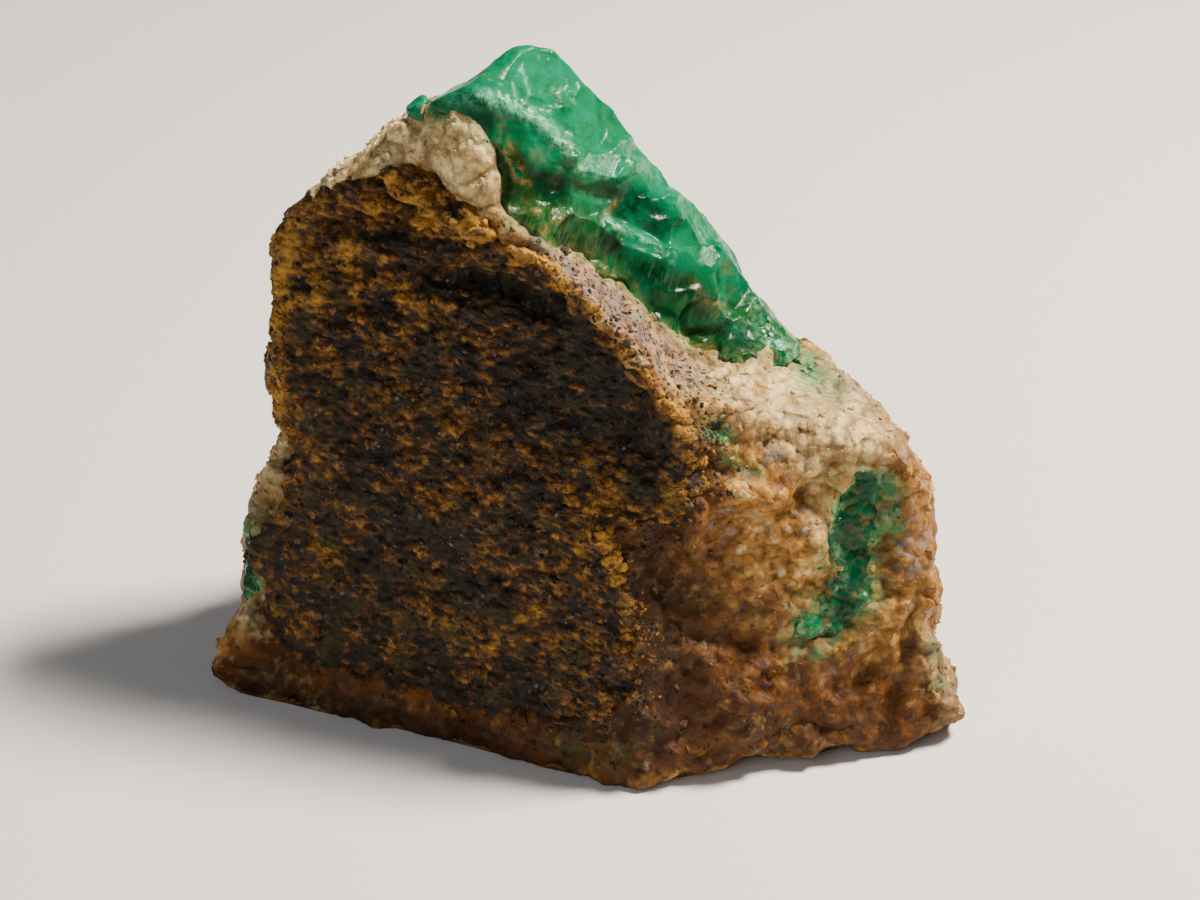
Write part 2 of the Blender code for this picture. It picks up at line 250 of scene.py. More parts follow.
def addNode(material, kind, inputs, **settings):
    # inputs go into the node's sockets by name or number: a plain value is set, and a node or one
    # of its outputs is linked. Settings go on the node itself, and stops are a ramp's colours
    node = material.node_tree.nodes.new("ShaderNode" + kind)
    stops = settings.pop("stops", ())
    for name, value in settings.items():
        setattr(node, name, value)
    if stops:
        elements = node.color_ramp.elements
        while len(elements) < len(stops):
            elements.new(0.5)
        for element, (place, colour) in zip(elements, stops):
            element.position = place
            element.color = linear(colour)
    for name, value in inputs.items():
        socket = node.inputs[name] if isinstance(name, int) else next(
            s for s in node.inputs if s.name == name and s.enabled)
        if isinstance(value, bpy.types.Node):
            value = next(s for s in value.outputs if s.enabled)
        if isinstance(value, bpy.types.NodeSocket):
            material.node_tree.links.new(value, socket)
        else:
            socket.default_value = linear(value) if isinstance(value, str) else value
    return node


def newMaterial(name, *paintedNames):
    # gives the material, its place socket and a socket for each name that is painted on the points
    material = bpy.data.materials.new(name)
    material.use_nodes = True
    material.node_tree.nodes.clear()
    place = addNode(material, "TexCoord", {}).outputs["Object"]
    return material, place, *(
        addNode(material, "Attribute", {}, attribute_name=each).outputs["Fac"] for each in paintedNames)


def between(start, end, low=0.0, high=1.0):
    # what turns start to end into low to high
    return {"From Min": start, "From Max": end, "To Min": low, "To Max": high}


def sumOf(material, start, *parts):
    # a number, plus each pattern by its share
    total = start
    for pattern, share in parts:
        total = addNode(material, "Math", {0: pattern, 1: share, 2: total}, operation="MULTIPLY_ADD")
    return total


def layColours(material, base, layers):
    # each layer is a colour, how much of it there is, the pattern that breaks it up, where the
    # pattern starts and ends, and what the amount is multiplied by there if it isn't 0 and 1
    for colour, amount, pattern, *steps in layers:
        broken = addNode(material, "MapRange", {"Value": pattern, **between(*steps)})
        share = addNode(material, "Math", {0: broken, 1: amount}, operation="MULTIPLY", use_clamp=True)
        base = addNode(material, "Mix", {"Factor": share, "A": base, "B": colour}, data_type="RGBA")
    return base


# The skin of the whole rock, which the minerals share, so that they meet with no seam

skinShape = {
    "fatten": 0.22,                            # mm that each node grows by, which closes their gaps
    "voxel": 0.22,      # mm
    "smoothing": 5,
}
mostTriangles = 190000                         # in one piece
borderShape = {
    # the slab's lower right corner strays most: mm across, how far it reaches, and mm of height
    "cornerAcross": (5, 4),
    "cornerHeight": (24, 18),
    # the crystal's thin left end doesn't stray: mm across, and the least height in mm
    "calmAcross": (-11, -7),
    "calmHeight": 40,
}


def copyOfNode(name):
    copy = copyOf(nodes[name], "copyOf" + name)
    copy.parent = None
    for key in list(copy.keys()):
        del copy[key]
    with editing(copy):
        bpy.ops.mesh.select_all(action="SELECT")
        bpy.ops.mesh.remove_doubles(threshold=0.002 * mm)
    copy.data.materials.clear()
    return copy


def makeSkin():
    names = ["feldspar_matrix", *mineralNodes]
    copies = [copyOfNode(name) for name in names]
    trees = [BVHTree.FromPolygons([v.co for v in copy.data.vertices],
                                  [p.vertices for p in copy.data.polygons]) for copy in copies]
    for copy in copies:
        applyModifier(copy, "DISPLACE", strength=skinShape["fatten"] * mm, mid_level=0)
    deselectAll()
    for copy in copies:
        copy.select_set(True)
    skin = bpy.context.view_layer.objects.active = copies[0]
    bpy.ops.object.join()
    skin.name = "wholeRockSkin"
    applyModifier(skin, "REMESH", mode="VOXEL", voxel_size=skinShape["voxel"] * mm)
    applyModifier(skin, "SMOOTH", factor=0.5, iterations=skinShape["smoothing"])
    points = pointsOf(skin) - normalsOf(skin) * skinShape["fatten"] * mm
    movePoints(skin, points)
    # mm from the edge of each mineral along the skin: above 0 inside it, below 0 outside
    listed = points.tolist()
    gaps = [np.array([tree.find_nearest(p)[3] for p in listed]) for tree in trees]
    for name, gap in zip(mineralNodes, gaps[1:]):
        paint(skin, "in_" + name, (gaps[0] - gap) / mm)
    return skin


def hollowsOf(thing, deep, steps):
    # -1 on ridges to 1 in pits this many mm deep, against the surface smoothed by so many steps
    smooth = copyOf(thing, "smoothed")
    applyModifier(smooth, "SMOOTH", factor=0.5, iterations=steps)
    below = np.sum((pointsOf(smooth) - pointsOf(thing)) * normalsOf(smooth), axis=1) / mm
    bpy.data.objects.remove(smooth)
    return np.clip(below / deep, -1, 1)


def thinOut(piece, spare):
    # merges faces down to the most that a piece may have, mostly where spare is 1
    triangles = trianglesOf(piece)
    if triangles > mostTriangles:
        group = piece.vertex_groups.new(name="spare")
        for step in range(11):
            group.add(np.flatnonzero(np.round(spare * 10) == step).tolist(), step / 10, "REPLACE")
        applyModifier(piece, "DECIMATE", ratio=mostTriangles / triangles, vertex_group="spare")
        piece.vertex_groups.clear()


def wander(points):
    # mm that the edges of the minerals stray, so that they don't run straight
    shape = borderShape
    across, height = points[:, 0] / mm, points[:, 2] / mm
    middle, reach = shape["cornerAcross"]
    corner = np.exp(-((across - middle) / reach) ** 2) * smoothStep(height, *shape["cornerHeight"])
    calm = smoothStep(across, *shape["calmAcross"]) + (height < shape["calmHeight"])
    stray = 0.5 * lumpsAt(points, 2.6, 2, 3) + 0.4 * lumpsAt(points, 0.9, 2, 4)
    return stray * np.clip(calm, 0, 1) + 1.1 * corner * lumpsAt(points, 3.2, 3, 5)


def ribsAt(points, size):
    # fine lines that run steeply up to the right, as on a broken crystal face
    lean = math.radians(crystalShape["ribLean"])
    turn = np.array([(math.cos(lean), 0, math.sin(lean)), (0, 1, 0), (-math.sin(lean), 0, math.cos(lean))])
    return lumpsAt(points @ turn / np.array(crystalShape["ribStretch"]), size, 2, 9)


def finishPiece(piece, name, material, replaced=None, smooth=True):
    piece.name = name
    piece.data.name = name
    for node in mineralNodes:
        layer = piece.data.attributes.get("in_" + node)
        if layer:
            piece.data.attributes.remove(layer)
    piece.data.materials.clear()
    piece.data.materials.append(material)
    makeActive(piece)
    if smooth:
        bpy.ops.object.shade_smooth()
    else:
        bpy.ops.object.shade_flat()
    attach(piece, "root")
    if replaced:
        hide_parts(replaced)
    say(f"{name}: {trianglesOf(piece)} triangles")
    return piece


say("making the rock's skin")
skin = makeSkin()
say(f"skin has {len(skin.data.polygons)} faces")


# Feldspar rock

feldsparLook = {
    "cream": "#f0da9c",       # clean albite
    "light": "#d0a052",
    "tan": "#ad7830",         # the same, faintly stained
    "dull": "#754a14",
    "grey": "#8d7c6e",        # glassy quartz between the grains
    "honey": "#96661f",
    "ochre": "#5c3200",       # iron stain
    "brown": "#2c1500",
    "green": "#2a7a48",
    "black": "#140e09",       # mica specks
    "patch": 6.0,             # mm, slow changes of colour
    "mottle": 1.6,            # mm
    "grain": 0.75,            # mm, the sugary grains
    "speck": 0.42,            # mm
    "grit": 0.3,              # mm, drawn coarser than the real grit so that it shows
    "streak": 2.4,            # mm, how the stain runs
    "bend": 0.3,              # mm, how uneven the grains are
    "grainRelief": 0.22,      # mm, in the shading only
    "gritRelief": 0.12,       # mm
    "roughness": 0.62,
}


def makeFeldspar():
    # Albite feldspar with quartz, broken by hand: sugary grains that scatter a little light inside
    # them, so it looks soft and pale, with iron stain that sank in from the schist
    look = feldsparLook
    stone, place, rust, honey, cream, grey, green, dark, specks, hollow, tone = newMaterial(
        "brokenAlbiteFeldspar", "rust", "honey", "cream", "grey", "green", "dark", "specks", "hollow",
        "tone")
    patches, mottle, grit, speckle, streaks = [
        addNode(stone, "TexNoise", {
            "Vector": place, "Scale": 1 / (look[size] * mm), "Detail": detail, "Roughness": rough})
        for size, detail, rough in (("patch", 6, 0.6), ("mottle", 6, 0.7), ("grit", 3, 0.65),
                                    ("speck", 2, 0.5), ("streak", 7, 0.75))]
    bent = addNode(stone, "VectorMath", {
        0: grit.outputs["Color"], 1: [look["bend"] * mm] * 3, 2: place}, operation="MULTIPLY_ADD")
    grains = addNode(stone, "TexVoronoi", {"Vector": bent, "Scale": 1 / (look["grain"] * mm)})

    # each grain has its own shade, and slow patches run through them all. About 0.5 is the middle
    shade = sumOf(stone, -0.62, (patches, 1.1), (mottle, 0.55), (tone, 0.3), (grains.outputs["Color"], 0.3))
    base = addNode(stone, "ValToRGB", {"Fac": shade}, stops=[
        (0.26, look["grey"]), (0.38, look["dull"]), (0.50, look["tan"]), (0.64, look["light"]),
        (0.80, look["cream"])])
    stain = layColours(stone, look["ochre"], [(look["brown"], 1.0, mottle, 0.42, 0.6)])
    # the stain spreads over the grains, and lies in the creases between them and in pits, there partly iron
    # stain and partly painted shade
    base = layColours(stone, base, (
        # the cream layer is partly a painted highlight on the lit tops
        (look["cream"], cream, mottle, 0.34, 0.56, 0.3, 1.0),
        (look["grey"], grey, mottle, 0.36, 0.58, 0.35, 1.1),
        (look["honey"], honey, mottle, 0.38, 0.6, 0.2, 1.2),
        (stain, rust, streaks, 0.36, 0.6, 0.3, 1.2),
        (stain, 1.0, grains.outputs["Distance"], 0.5, 0.85, 0.0, 0.5),
        (look["green"], green, mottle, 0.38, 0.6, 0.2, 1.2),
        (stain, 1.0, hollow, 0.0, 1.0, 0.0, 0.8),
        # painted shade: brown where marked dark
        (look["brown"], dark, mottle, 0.62, 0.44, 0.15, 1.1),
        (look["black"], specks, speckle, 0.58, 0.64)))
    bright = addNode(stone, "MapRange", {"Value": grit, **between(0.3, 0.7, 0.72, 1.2)})
    base = addNode(stone, "VectorMath", {"Vector": base, "Scale": bright}, operation="SCALE")

    gloss = addNode(stone, "MapRange", {
        "Value": grains.outputs["Color"], **between(0.75, 0.9, look["roughness"], 0.3)})
    domes = addNode(stone, "Bump", {
        "Height": grains.outputs["Distance"], "Strength": 0.7, "Distance": look["grainRelief"] * mm},
        invert=True)
    bump = addNode(stone, "Bump", {
        "Height": grit, "Strength": 0.7, "Distance": look["gritRelief"] * mm, "Normal": domes})
    surface = addNode(stone, "BsdfPrincipled", {
        "Base Color": base, "Roughness": gloss, "Normal": bump, "IOR": 1.53, "Specular IOR Level": 0.2,
        "Subsurface Weight": 0.08, "Subsurface Scale": 0.3 * mm, "Subsurface Radius": (1.0, 0.7, 0.45)})
    addNode(stone, "OutputMaterial", {"Surface": surface})
    return stone


hookLine = [(668, 630), (672, 621), (680, 624), (681, 636), (676, 644)]
rockShape = {
    # mm that the rock lies below the skin under each mineral
    "recess": {"mica_schist": 2.4, "emerald_crystal": 5.5, "emerald_vein": 1.3, "emerald_left_grain": 1.2,
               "emerald_tip": 1.2},
    # mm across between which the crystal's pocket grows deep, as the crystal is thin at its left end
    "pocketAcross": (-10.5, -5.0),
    # grain size in mm and height in mm, coarse to fine
    "grains": [(4.0, 0.8), (1.9, 0.52), (0.95, 0.32)],
    # pixels from the top between which the stain beside the slab sets in
    "stainDown": (300, 460),
    # pixels from the left and from the top between which stray crumbs set in
    "crumbsAcross": (420, 620),
    "crumbsDown": (200, 400),
    # marks: a line of pixels, a half width in mm and a strength. The knob's grains are lower than
    # the rest, and so are the band's
    "smoother": {
        "knob": ([(446, 130), (472, 160)], 1.0, 0.35),
    },
    "finer": {
        "band": ([(520, 240), (600, 290), (690, 380)], 1.8, 0.8),
    },
    # flat faces: a pixel, a reach in pixels, a lean to the right and upwards, and a depth in mm
    "cuts": {
        "shelf top": ((800, 384), 52, (0.0, 0.35), 0.35),
        "boss top": ((846, 436), 30, (-0.1, 0.5), 0.3),
        "shelf front": ((770, 452), 40, (-0.15, -0.2), 0.2),
        "right of vein": ((906, 520), 40, (0.35, 0.0), 0.35),
        "middle": ((742, 540), 46, (-0.3, 0.1), 0.35),
        "under vein": ((850, 660), 46, (0.2, -0.2), 0.35),
        "low middle": ((700, 690), 50, (-0.3, -0.1), 0.35),
        "foot face": ((936, 676), 34, (0.3, 0.1), 0.3),
        "knob face": ((470, 160), 28, (0.3, -0.1), 0.3),
        "knob top": ((432, 128), 30, (-0.1, 0.4), 0.25),
    },
    # marks again: what stands out or lies deeper, in mm, and then each colour
    "relief": {
        "knob top": ([(438, 122), (450, 128)], 1.0, 0.35),
        "knob middle": ([(470, 148), (480, 160)], 0.9, 0.5),
        "knob foot": ([(484, 190), (488, 204)], 0.8, 0.4),
        "knob left": ([(398, 138), (420, 150), (436, 166)], 0.7, 0.35),
        "knob side": ([(500, 214), (516, 232)], 0.8, 0.4),
        "below boss": ([(786, 494), (792, 498)], 0.9, 0.6),
        "hollow beside knob": ([(503, 134), (512, 185)], 0.8, -0.7),
        "band lip": ([(520, 232), (590, 272), (640, 320), (690, 372)], 0.6, 0.3),
        "hook": (hookLine, 0.2, -0.35),
        "fold": ([(606, 545), (628, 600), (640, 660), (632, 700)], 0.8, 0.5),
        "hollow by fold": ([(668, 560), (690, 640), (700, 700)], 1.3, -0.6),
        "boss above vein": ([(832, 430), (850, 452)], 1.2, 0.55),
        "ledge right of vein": ([(905, 470), (912, 560)], 0.9, 0.45),
        "shelf edge": ([(700, 440), (760, 420), (830, 424)], 1.0, 0.5),
        "under shelf": ([(716, 470), (770, 458)], 0.9, -0.4),
        "foot crease": ([(918, 620), (900, 690), (888, 730)], 0.8, -0.8),
        "left foot crease": ([(254, 600), (286, 648)], 0.8, -0.5),
        "low crease": ([(700, 640), (780, 650), (840, 620)], 0.9, -0.5),
        "low swell": ([(740, 700), (820, 700)], 2.0, 0.4),
    },
    # rust marks are iron stain; lower right, lower middle and bottom strip also darken the rock's lower
    # part as painted shade
    "rust": {
        "beside slab": ([(650, 560), (664, 650), (660, 740)], 4.0, 1.0),
        "ochre patch": ([(690, 500), (720, 560), (750, 600)], 2.6, 0.5),
        "lower right": ([(690, 660), (800, 700), (880, 730)], 5.0, 0.85),
        "right of vein": ([(900, 500), (880, 600)], 1.4, 0.4),
        "lower middle": ([(600, 740), (720, 740)], 3.0, 0.9),
        "left foot": ([(225, 665), (262, 668)], 1.8, 1.0),
        "bottom strip": ([(300, 680), (400, 716), (520, 756)], 2.6, 1.0),
        "knob side": ([(440, 210), (470, 230), (500, 246)], 1.0, 0.6),
        "yellow edge": ([(286, 215), (276, 250)], 1.0, 0.9),
    },
    "honey": {
        "honey lump": ([(930, 580), (934, 612)], 1.1, 1.0),
        "right rim": ([(916, 470), (926, 540)], 1.3, 0.6),
        "knob": ([(436, 132), (474, 160), (484, 190)], 1.3, 0.45),
        "by slab": ([(704, 480), (716, 512)], 1.0, 0.7),
        "middle": ([(730, 500), (770, 540)], 1.6, 0.4),
        "low": ([(820, 640), (870, 620)], 1.6, 0.4),
    },
    # cream where marked: the albite's own clean cream, and on the knob, the crest left of it, the shelf top
    # and the upper right also a painted highlight on the lit tops
    "cream": {
        "knob": ([(420, 120), (450, 130), (478, 170)], 2.4, 2.0),
        "crest left of knob": ([(330, 180), (370, 150), (410, 122)], 1.8, 2.0),
        "shelf top": ([(740, 380), (800, 376), (850, 396)], 2.2, 0.8),
        "upper right": ([(780, 420), (830, 440), (870, 440)], 2.2, 0.6),
        "band end": ([(680, 372), (720, 380)], 1.0, 0.6),
        "right foot": ([(930, 650), (948, 706)], 1.2, 0.4),
        "left strip": ([(272, 450), (262, 520), (256, 600)], 1.4, 1.8),
        "left foot top": ([(250, 612), (270, 630)], 1.0, 1.2),
        "left of vein": ([(812, 470), (824, 540)], 1.0, 0.4),
    },
    "grey": {
        "band": ([(528, 244), (590, 282), (640, 330), (690, 376)], 1.5, 1.0),
        "right foot": ([(936, 640), (950, 700)], 1.4, 0.5),
        "crest": ([(850, 372), (880, 396)], 1.2, 0.6),
    },
    "green": {
        "below crystal": ([(782, 352), (806, 372), (836, 392)], 1.1, 0.7),
        "crest": ([(800, 346), (822, 368)], 0.8, 0.6),
        "spot by slab": ([(714, 428), (728, 434)], 0.9, 1.2),
        "streak by slab": ([(730, 460), (754, 474)], 0.6, 1.2),
        "left strip": ([(256, 500), (250, 540), (250, 585)], 0.8, 0.7),
        "crest left": ([(420, 106), (440, 112)], 0.8, 0.6),
        "right of vein": ([(886, 480), (892, 530)], 0.9, 0.35),
        "band end": ([(636, 290), (650, 316)], 0.6, 0.5),
        "foot": ([(936, 650), (944, 680)], 1.0, 0.3),
        "low": ([(560, 740), (620, 750)], 1.4, 0.25),
    },
    # brown where marked dark is mostly painted shade: in the hollow beside the knob, in creases, under the
    # shelf, along the bottom strip, below and beside the slab, and low on the right
    "dark": {
        "shaded hollow by knob": ([(498, 126), (510, 188)], 0.9, 1.3),
        "hook": (hookLine, 0.16, 0.9),
        "bottom strip": ([(250, 690), (400, 722), (500, 756)], 1.6, 1.0),
        "foot crease": ([(918, 620), (900, 690)], 0.6, 0.6),
        "under shelf": ([(716, 474), (790, 462)], 0.7, 0.35),
        "below slab": ([(560, 720), (640, 730)], 2.4, 0.9),
        "beside slab": ([(654, 560), (664, 630), (664, 720)], 2.4, 0.9),
        "lower right": ([(720, 720), (800, 740), (870, 740)], 2.4, 0.5),
        "left of low vein": ([(700, 590), (780, 610)], 1.8, 0.3),
    },
    "specks": {
        "band": ([(505, 235), (560, 265), (620, 300), (670, 350), (720, 400)], 1.7, 1.0),
        "crest left": ([(340, 180), (400, 150)], 1.4, 0.4),
        "by slab": ([(720, 440), (730, 520), (700, 580)], 1.6, 0.5),
    },
}


def makeRock(skin, material):
    shape = rockShape
    rock = copyOf(skin, "rock")
    points, normals = pointsOf(rock), normalsOf(rock)
    inside = {name: painted(rock, "in_" + name) for name in mineralNodes}
    stray = wander(points)
    onBase = points[:, 2] < 0.05 * mm
    flat = cleave(points, normals, shape["cuts"])
    calm = np.clip(1 - 0.5 * flat - markStrength(points, normals, shape["smoother"]), 0.2, 1)
    fine = np.clip(markStrength(points, normals, shape["finer"]), 0, 1)
    lift = 0.4 * lumpsAt(points, 5.0, 3, 1)
    crease = np.zeros(len(points))
    for level, (size, high) in enumerate(shape["grains"]):
        low, ridge, own = brokenCells(points, size, 11 + 4 * level)
        coarse = calm * (1 - 0.35 * fine) if level < 2 else 1
        lift -= high * low * coarse
        crease += high * (1 - smoothStep(ridge, 0.0, 0.22)) * coarse
        tone = own[:, 1] if level == 0 else 0.45 * tone + 0.55 * own[:, 1]
    lift += markStrength(points, normals, shape["relief"])
    for name in mineralNodes:
        reach = inside[name] + stray
        sunk = 1.1 * smoothStep(reach, 0.0, 1.2)
        sunk += smoothStep(reach, 1.5, 3.5) * (shape["recess"][name] - 1.1)
        if name == "emerald_crystal":
            sunk *= 0.2 + 0.8 * smoothStep(points[:, 0] / mm, *shape["pocketAcross"])
        lift = np.where(reach > 0, lift * (1 - smoothStep(reach, 0.4, 1.5)) - sunk, lift)
    lift[onBase] = 0
    raisePoints(rock, points, normals, lift)

    across, down = photoPixels(points)
    schistEdge = smoothStep(inside["mica_schist"] + 1.5 * stray, -3.4, 0.0)
    schistEdge *= 0.12 + 0.88 * smoothStep(down, *shape["stainDown"])
    emeraldEdge = np.maximum(smoothStep(inside["emerald_crystal"] + stray, -1.3, 0.0),
                             1.3 * smoothStep(inside["emerald_vein"] + 2 * stray, -2.4, 0.1))
    emeraldEdge = np.maximum(emeraldEdge, smoothStep(inside["emerald_left_grain"], -1.4, 0.1))
    lower = smoothStep(-points[:, 2] / mm, -20.0, -1.0)
    behind = smoothStep(normals @ away, -0.1, 0.4)
    slow = smoothStep(lumpsAt(points, 9.0, 3, 6), -0.3, 0.5)
    # pits and creases, which take the stain colour: partly iron stain, partly painted shade
    pits = np.clip(hollowsOf(rock, 0.3, 12), 0, 1) + 0.5 * np.clip(hollowsOf(rock, 0.6, 60), 0, 1)
    rust, honey, cream, grey, green, dark, specks = (
        markStrength(points, normals, shape[name])
        for name in ("rust", "honey", "cream", "grey", "green", "dark", "specks"))
    # rust grows towards the bottom of the rock: partly iron stain, partly painted shade on its lower part
    paint(rock, "rust", np.clip(0.9 * schistEdge + rust + 0.5 * lower + 0.7 * behind * slow, 0, 1.2))
    nearSlab = smoothStep(inside["mica_schist"] + 1.5 * stray, -3.6, 0.0) * (inside["mica_schist"] < 0.3)
    crumbly = smoothStep(across, *shape["crumbsAcross"]) * smoothStep(down, *shape["crumbsDown"])
    # the cream amount is partly a painted highlight
    # the dark amount is mostly painted shade
    paintAmounts(rock, honey=honey + 0.4 * behind * (1 - slow), cream=cream + 0.3 * behind * (1 - slow),
                 grey=grey, green=0.6 * emeraldEdge + green, dark=dark,
                 specks=specks + 0.3 * behind + 0.1, hollow=pits + 0.5 * np.clip(crease, 0, 1), tone=tone,
                 nearSlab=nearSlab ** 2 * crumbly)

    # the base and what the minerals hide need few faces
    hidden = np.max([smoothStep(inside[name], 1.4, 2.0) for name in mineralNodes], axis=0)
    thinOut(rock, np.clip(np.maximum(np.maximum(hidden, onBase), 0.3 * behind), 0, 1))
    return finishPiece(rock, "feldsparRock", material, "feldspar_matrix")


# Patches of the skin that make the minerals

def cutPatch(skin, node, margin):
    # the skin over one mineral and a little beyond, made finer. It gives the patch, its points and
    # normals, and how many mm each point lies inside the mineral's uneven edge
    patch = copyOf(skin, node + "Patch")
    with editing(patch):
        bpy.ops.mesh.select_mode(type="VERT")
        bpy.ops.mesh.select_all(action="DESELECT")
    patch.data.vertices.foreach_set("select", painted(patch, "in_" + node) < -margin)
    with editing(patch):
        bpy.ops.mesh.delete(type="VERT")
        bpy.ops.mesh.select_all(action="SELECT")
        bpy.ops.mesh.separate(type="LOOSE")
    *spare, patch = sorted(bpy.context.selected_objects, key=lambda part: len(part.data.vertices))
    for part in spare:
        bpy.data.objects.remove(part)
    applyModifier(patch, "SUBSURF", levels=1, render_levels=1)
    points = pointsOf(patch)
    return patch, points, normalsOf(patch), painted(patch, "in_" + node) + wander(points)


def closeTowardsHeart(patch, depth):
    # the open border runs in towards the heart of the rock and is filled there
    with editing(patch):
        bpy.ops.mesh.select_mode(type="EDGE")
        bpy.ops.mesh.select_all(action="DESELECT")
        bpy.ops.mesh.select_non_manifold(extend=False, use_wire=False, use_boundary=True,
                                         use_multi_face=False, use_non_contiguous=False, use_verts=False)
        bpy.ops.mesh.extrude_edges_move()
    points = pointsOf(patch)
    inner = np.zeros(len(points), bool)
    patch.data.vertices.foreach_get("select", inner)
    inwards = heart - points[inner]
    points[inner] += inwards / np.linalg.norm(inwards, axis=1, keepdims=True) * depth * mm
    movePoints(patch, points)
    with editing(patch):
        bpy.ops.mesh.edge_face_add()
        bpy.ops.mesh.quads_convert_to_tris()
        bpy.ops.mesh.select_all(action="SELECT")
        bpy.ops.mesh.normals_make_consistent(inside=False)


# Mica schist slab

schistLook = {
    "black": "#140b02",       # biotite
    "brown": "#341e04",
    "rust": "#5f3907",        # iron oxide between the flakes
    "ochre": "#875d0f",
    "gold": "#a97a28",
    "olive": "#353010",
    "patch": 3.4,             # mm
    "mottle": 0.9,            # mm
    "flake": 0.6,             # mm
    "grit": 0.28,             # mm
    "stain": 2.2,             # mm, patches of olive
    "bend": 0.35,             # mm, how uneven the flakes are
    "lean": 26,               # degrees down to the right that the flakes lie
    "stretch": (1.15, 1.0, 0.88),
    "flakeRelief": 0.25,      # mm, in the shading only
    "gritRelief": 0.14,       # mm
    "roughness": 0.7,
}


def makeSchist():
    # Weathered biotite mica schist: flakes of black mica lie in rusty crumbs, so it is dark and
    # mottled, with painted shade in the creases and small glints
    look = schistLook
    stone, place, rust, black, hollow, tone = newMaterial(
        "rustyMicaSchist", "rust", "black", "hollow", "tone")
    laid = addNode(stone, "Mapping", {
        "Vector": place, "Rotation": (0, math.radians(look["lean"]), 0), "Scale": look["stretch"]},
        vector_type="TEXTURE")
    patches, mottle, grit, olive = [
        addNode(stone, "TexNoise", {
            "Vector": vector, "Scale": 1 / (look[size] * mm), "Detail": detail, "Roughness": rough})
        for vector, size, detail, rough in ((laid, "patch", 7, 0.72), (laid, "mottle", 5, 0.75),
                                            (place, "grit", 3, 0.7), (place, "stain", 3, 0.5))]
    bent = addNode(stone, "VectorMath", {
        0: grit.outputs["Color"], 1: [look["bend"] * mm] * 3, 2: laid}, operation="MULTIPLY_ADD")
    flakes = addNode(stone, "TexVoronoi", {"Vector": bent, "Scale": 1 / (look["flake"] * mm)})

    # about 0.5 is the middle of the mixture
    # black and hollow pull the level darker: painted shade where marked and in the creases
    level = sumOf(stone, -1.03, (patches, 1.5), (mottle, 0.65), (grit, 0.3), (tone, 0.28),
                  (flakes.outputs["Color"], 0.34), (rust, 0.24), (black, -0.22), (hollow, -0.2))
    base = addNode(stone, "ValToRGB", {"Fac": level}, stops=[
        (0.30, look["black"]), (0.46, look["brown"]), (0.60, look["rust"]), (0.74, look["ochre"]),
        (0.94, look["gold"])])
    base = layColours(stone, base, [(look["olive"], 1.0, olive, 0.5, 0.64, 0.0, 0.5)])

    gloss = addNode(stone, "MapRange", {
        "Value": flakes.outputs["Color"], **between(0.74, 0.86, look["roughness"], 0.25)})
    layers = addNode(stone, "Bump", {
        "Height": flakes.outputs["Distance"], "Strength": 0.8, "Distance": look["flakeRelief"] * mm},
        invert=True)
    bump = addNode(stone, "Bump", {
        "Height": grit, "Strength": 0.8, "Distance": look["gritRelief"] * mm, "Normal": layers})
    surface = addNode(stone, "BsdfPrincipled", {
        "Base Color": base, "Roughness": gloss, "Normal": bump, "IOR": 1.58, "Specular IOR Level": 0.25})
    addNode(stone, "OutputMaterial", {"Surface": surface})
    return stone


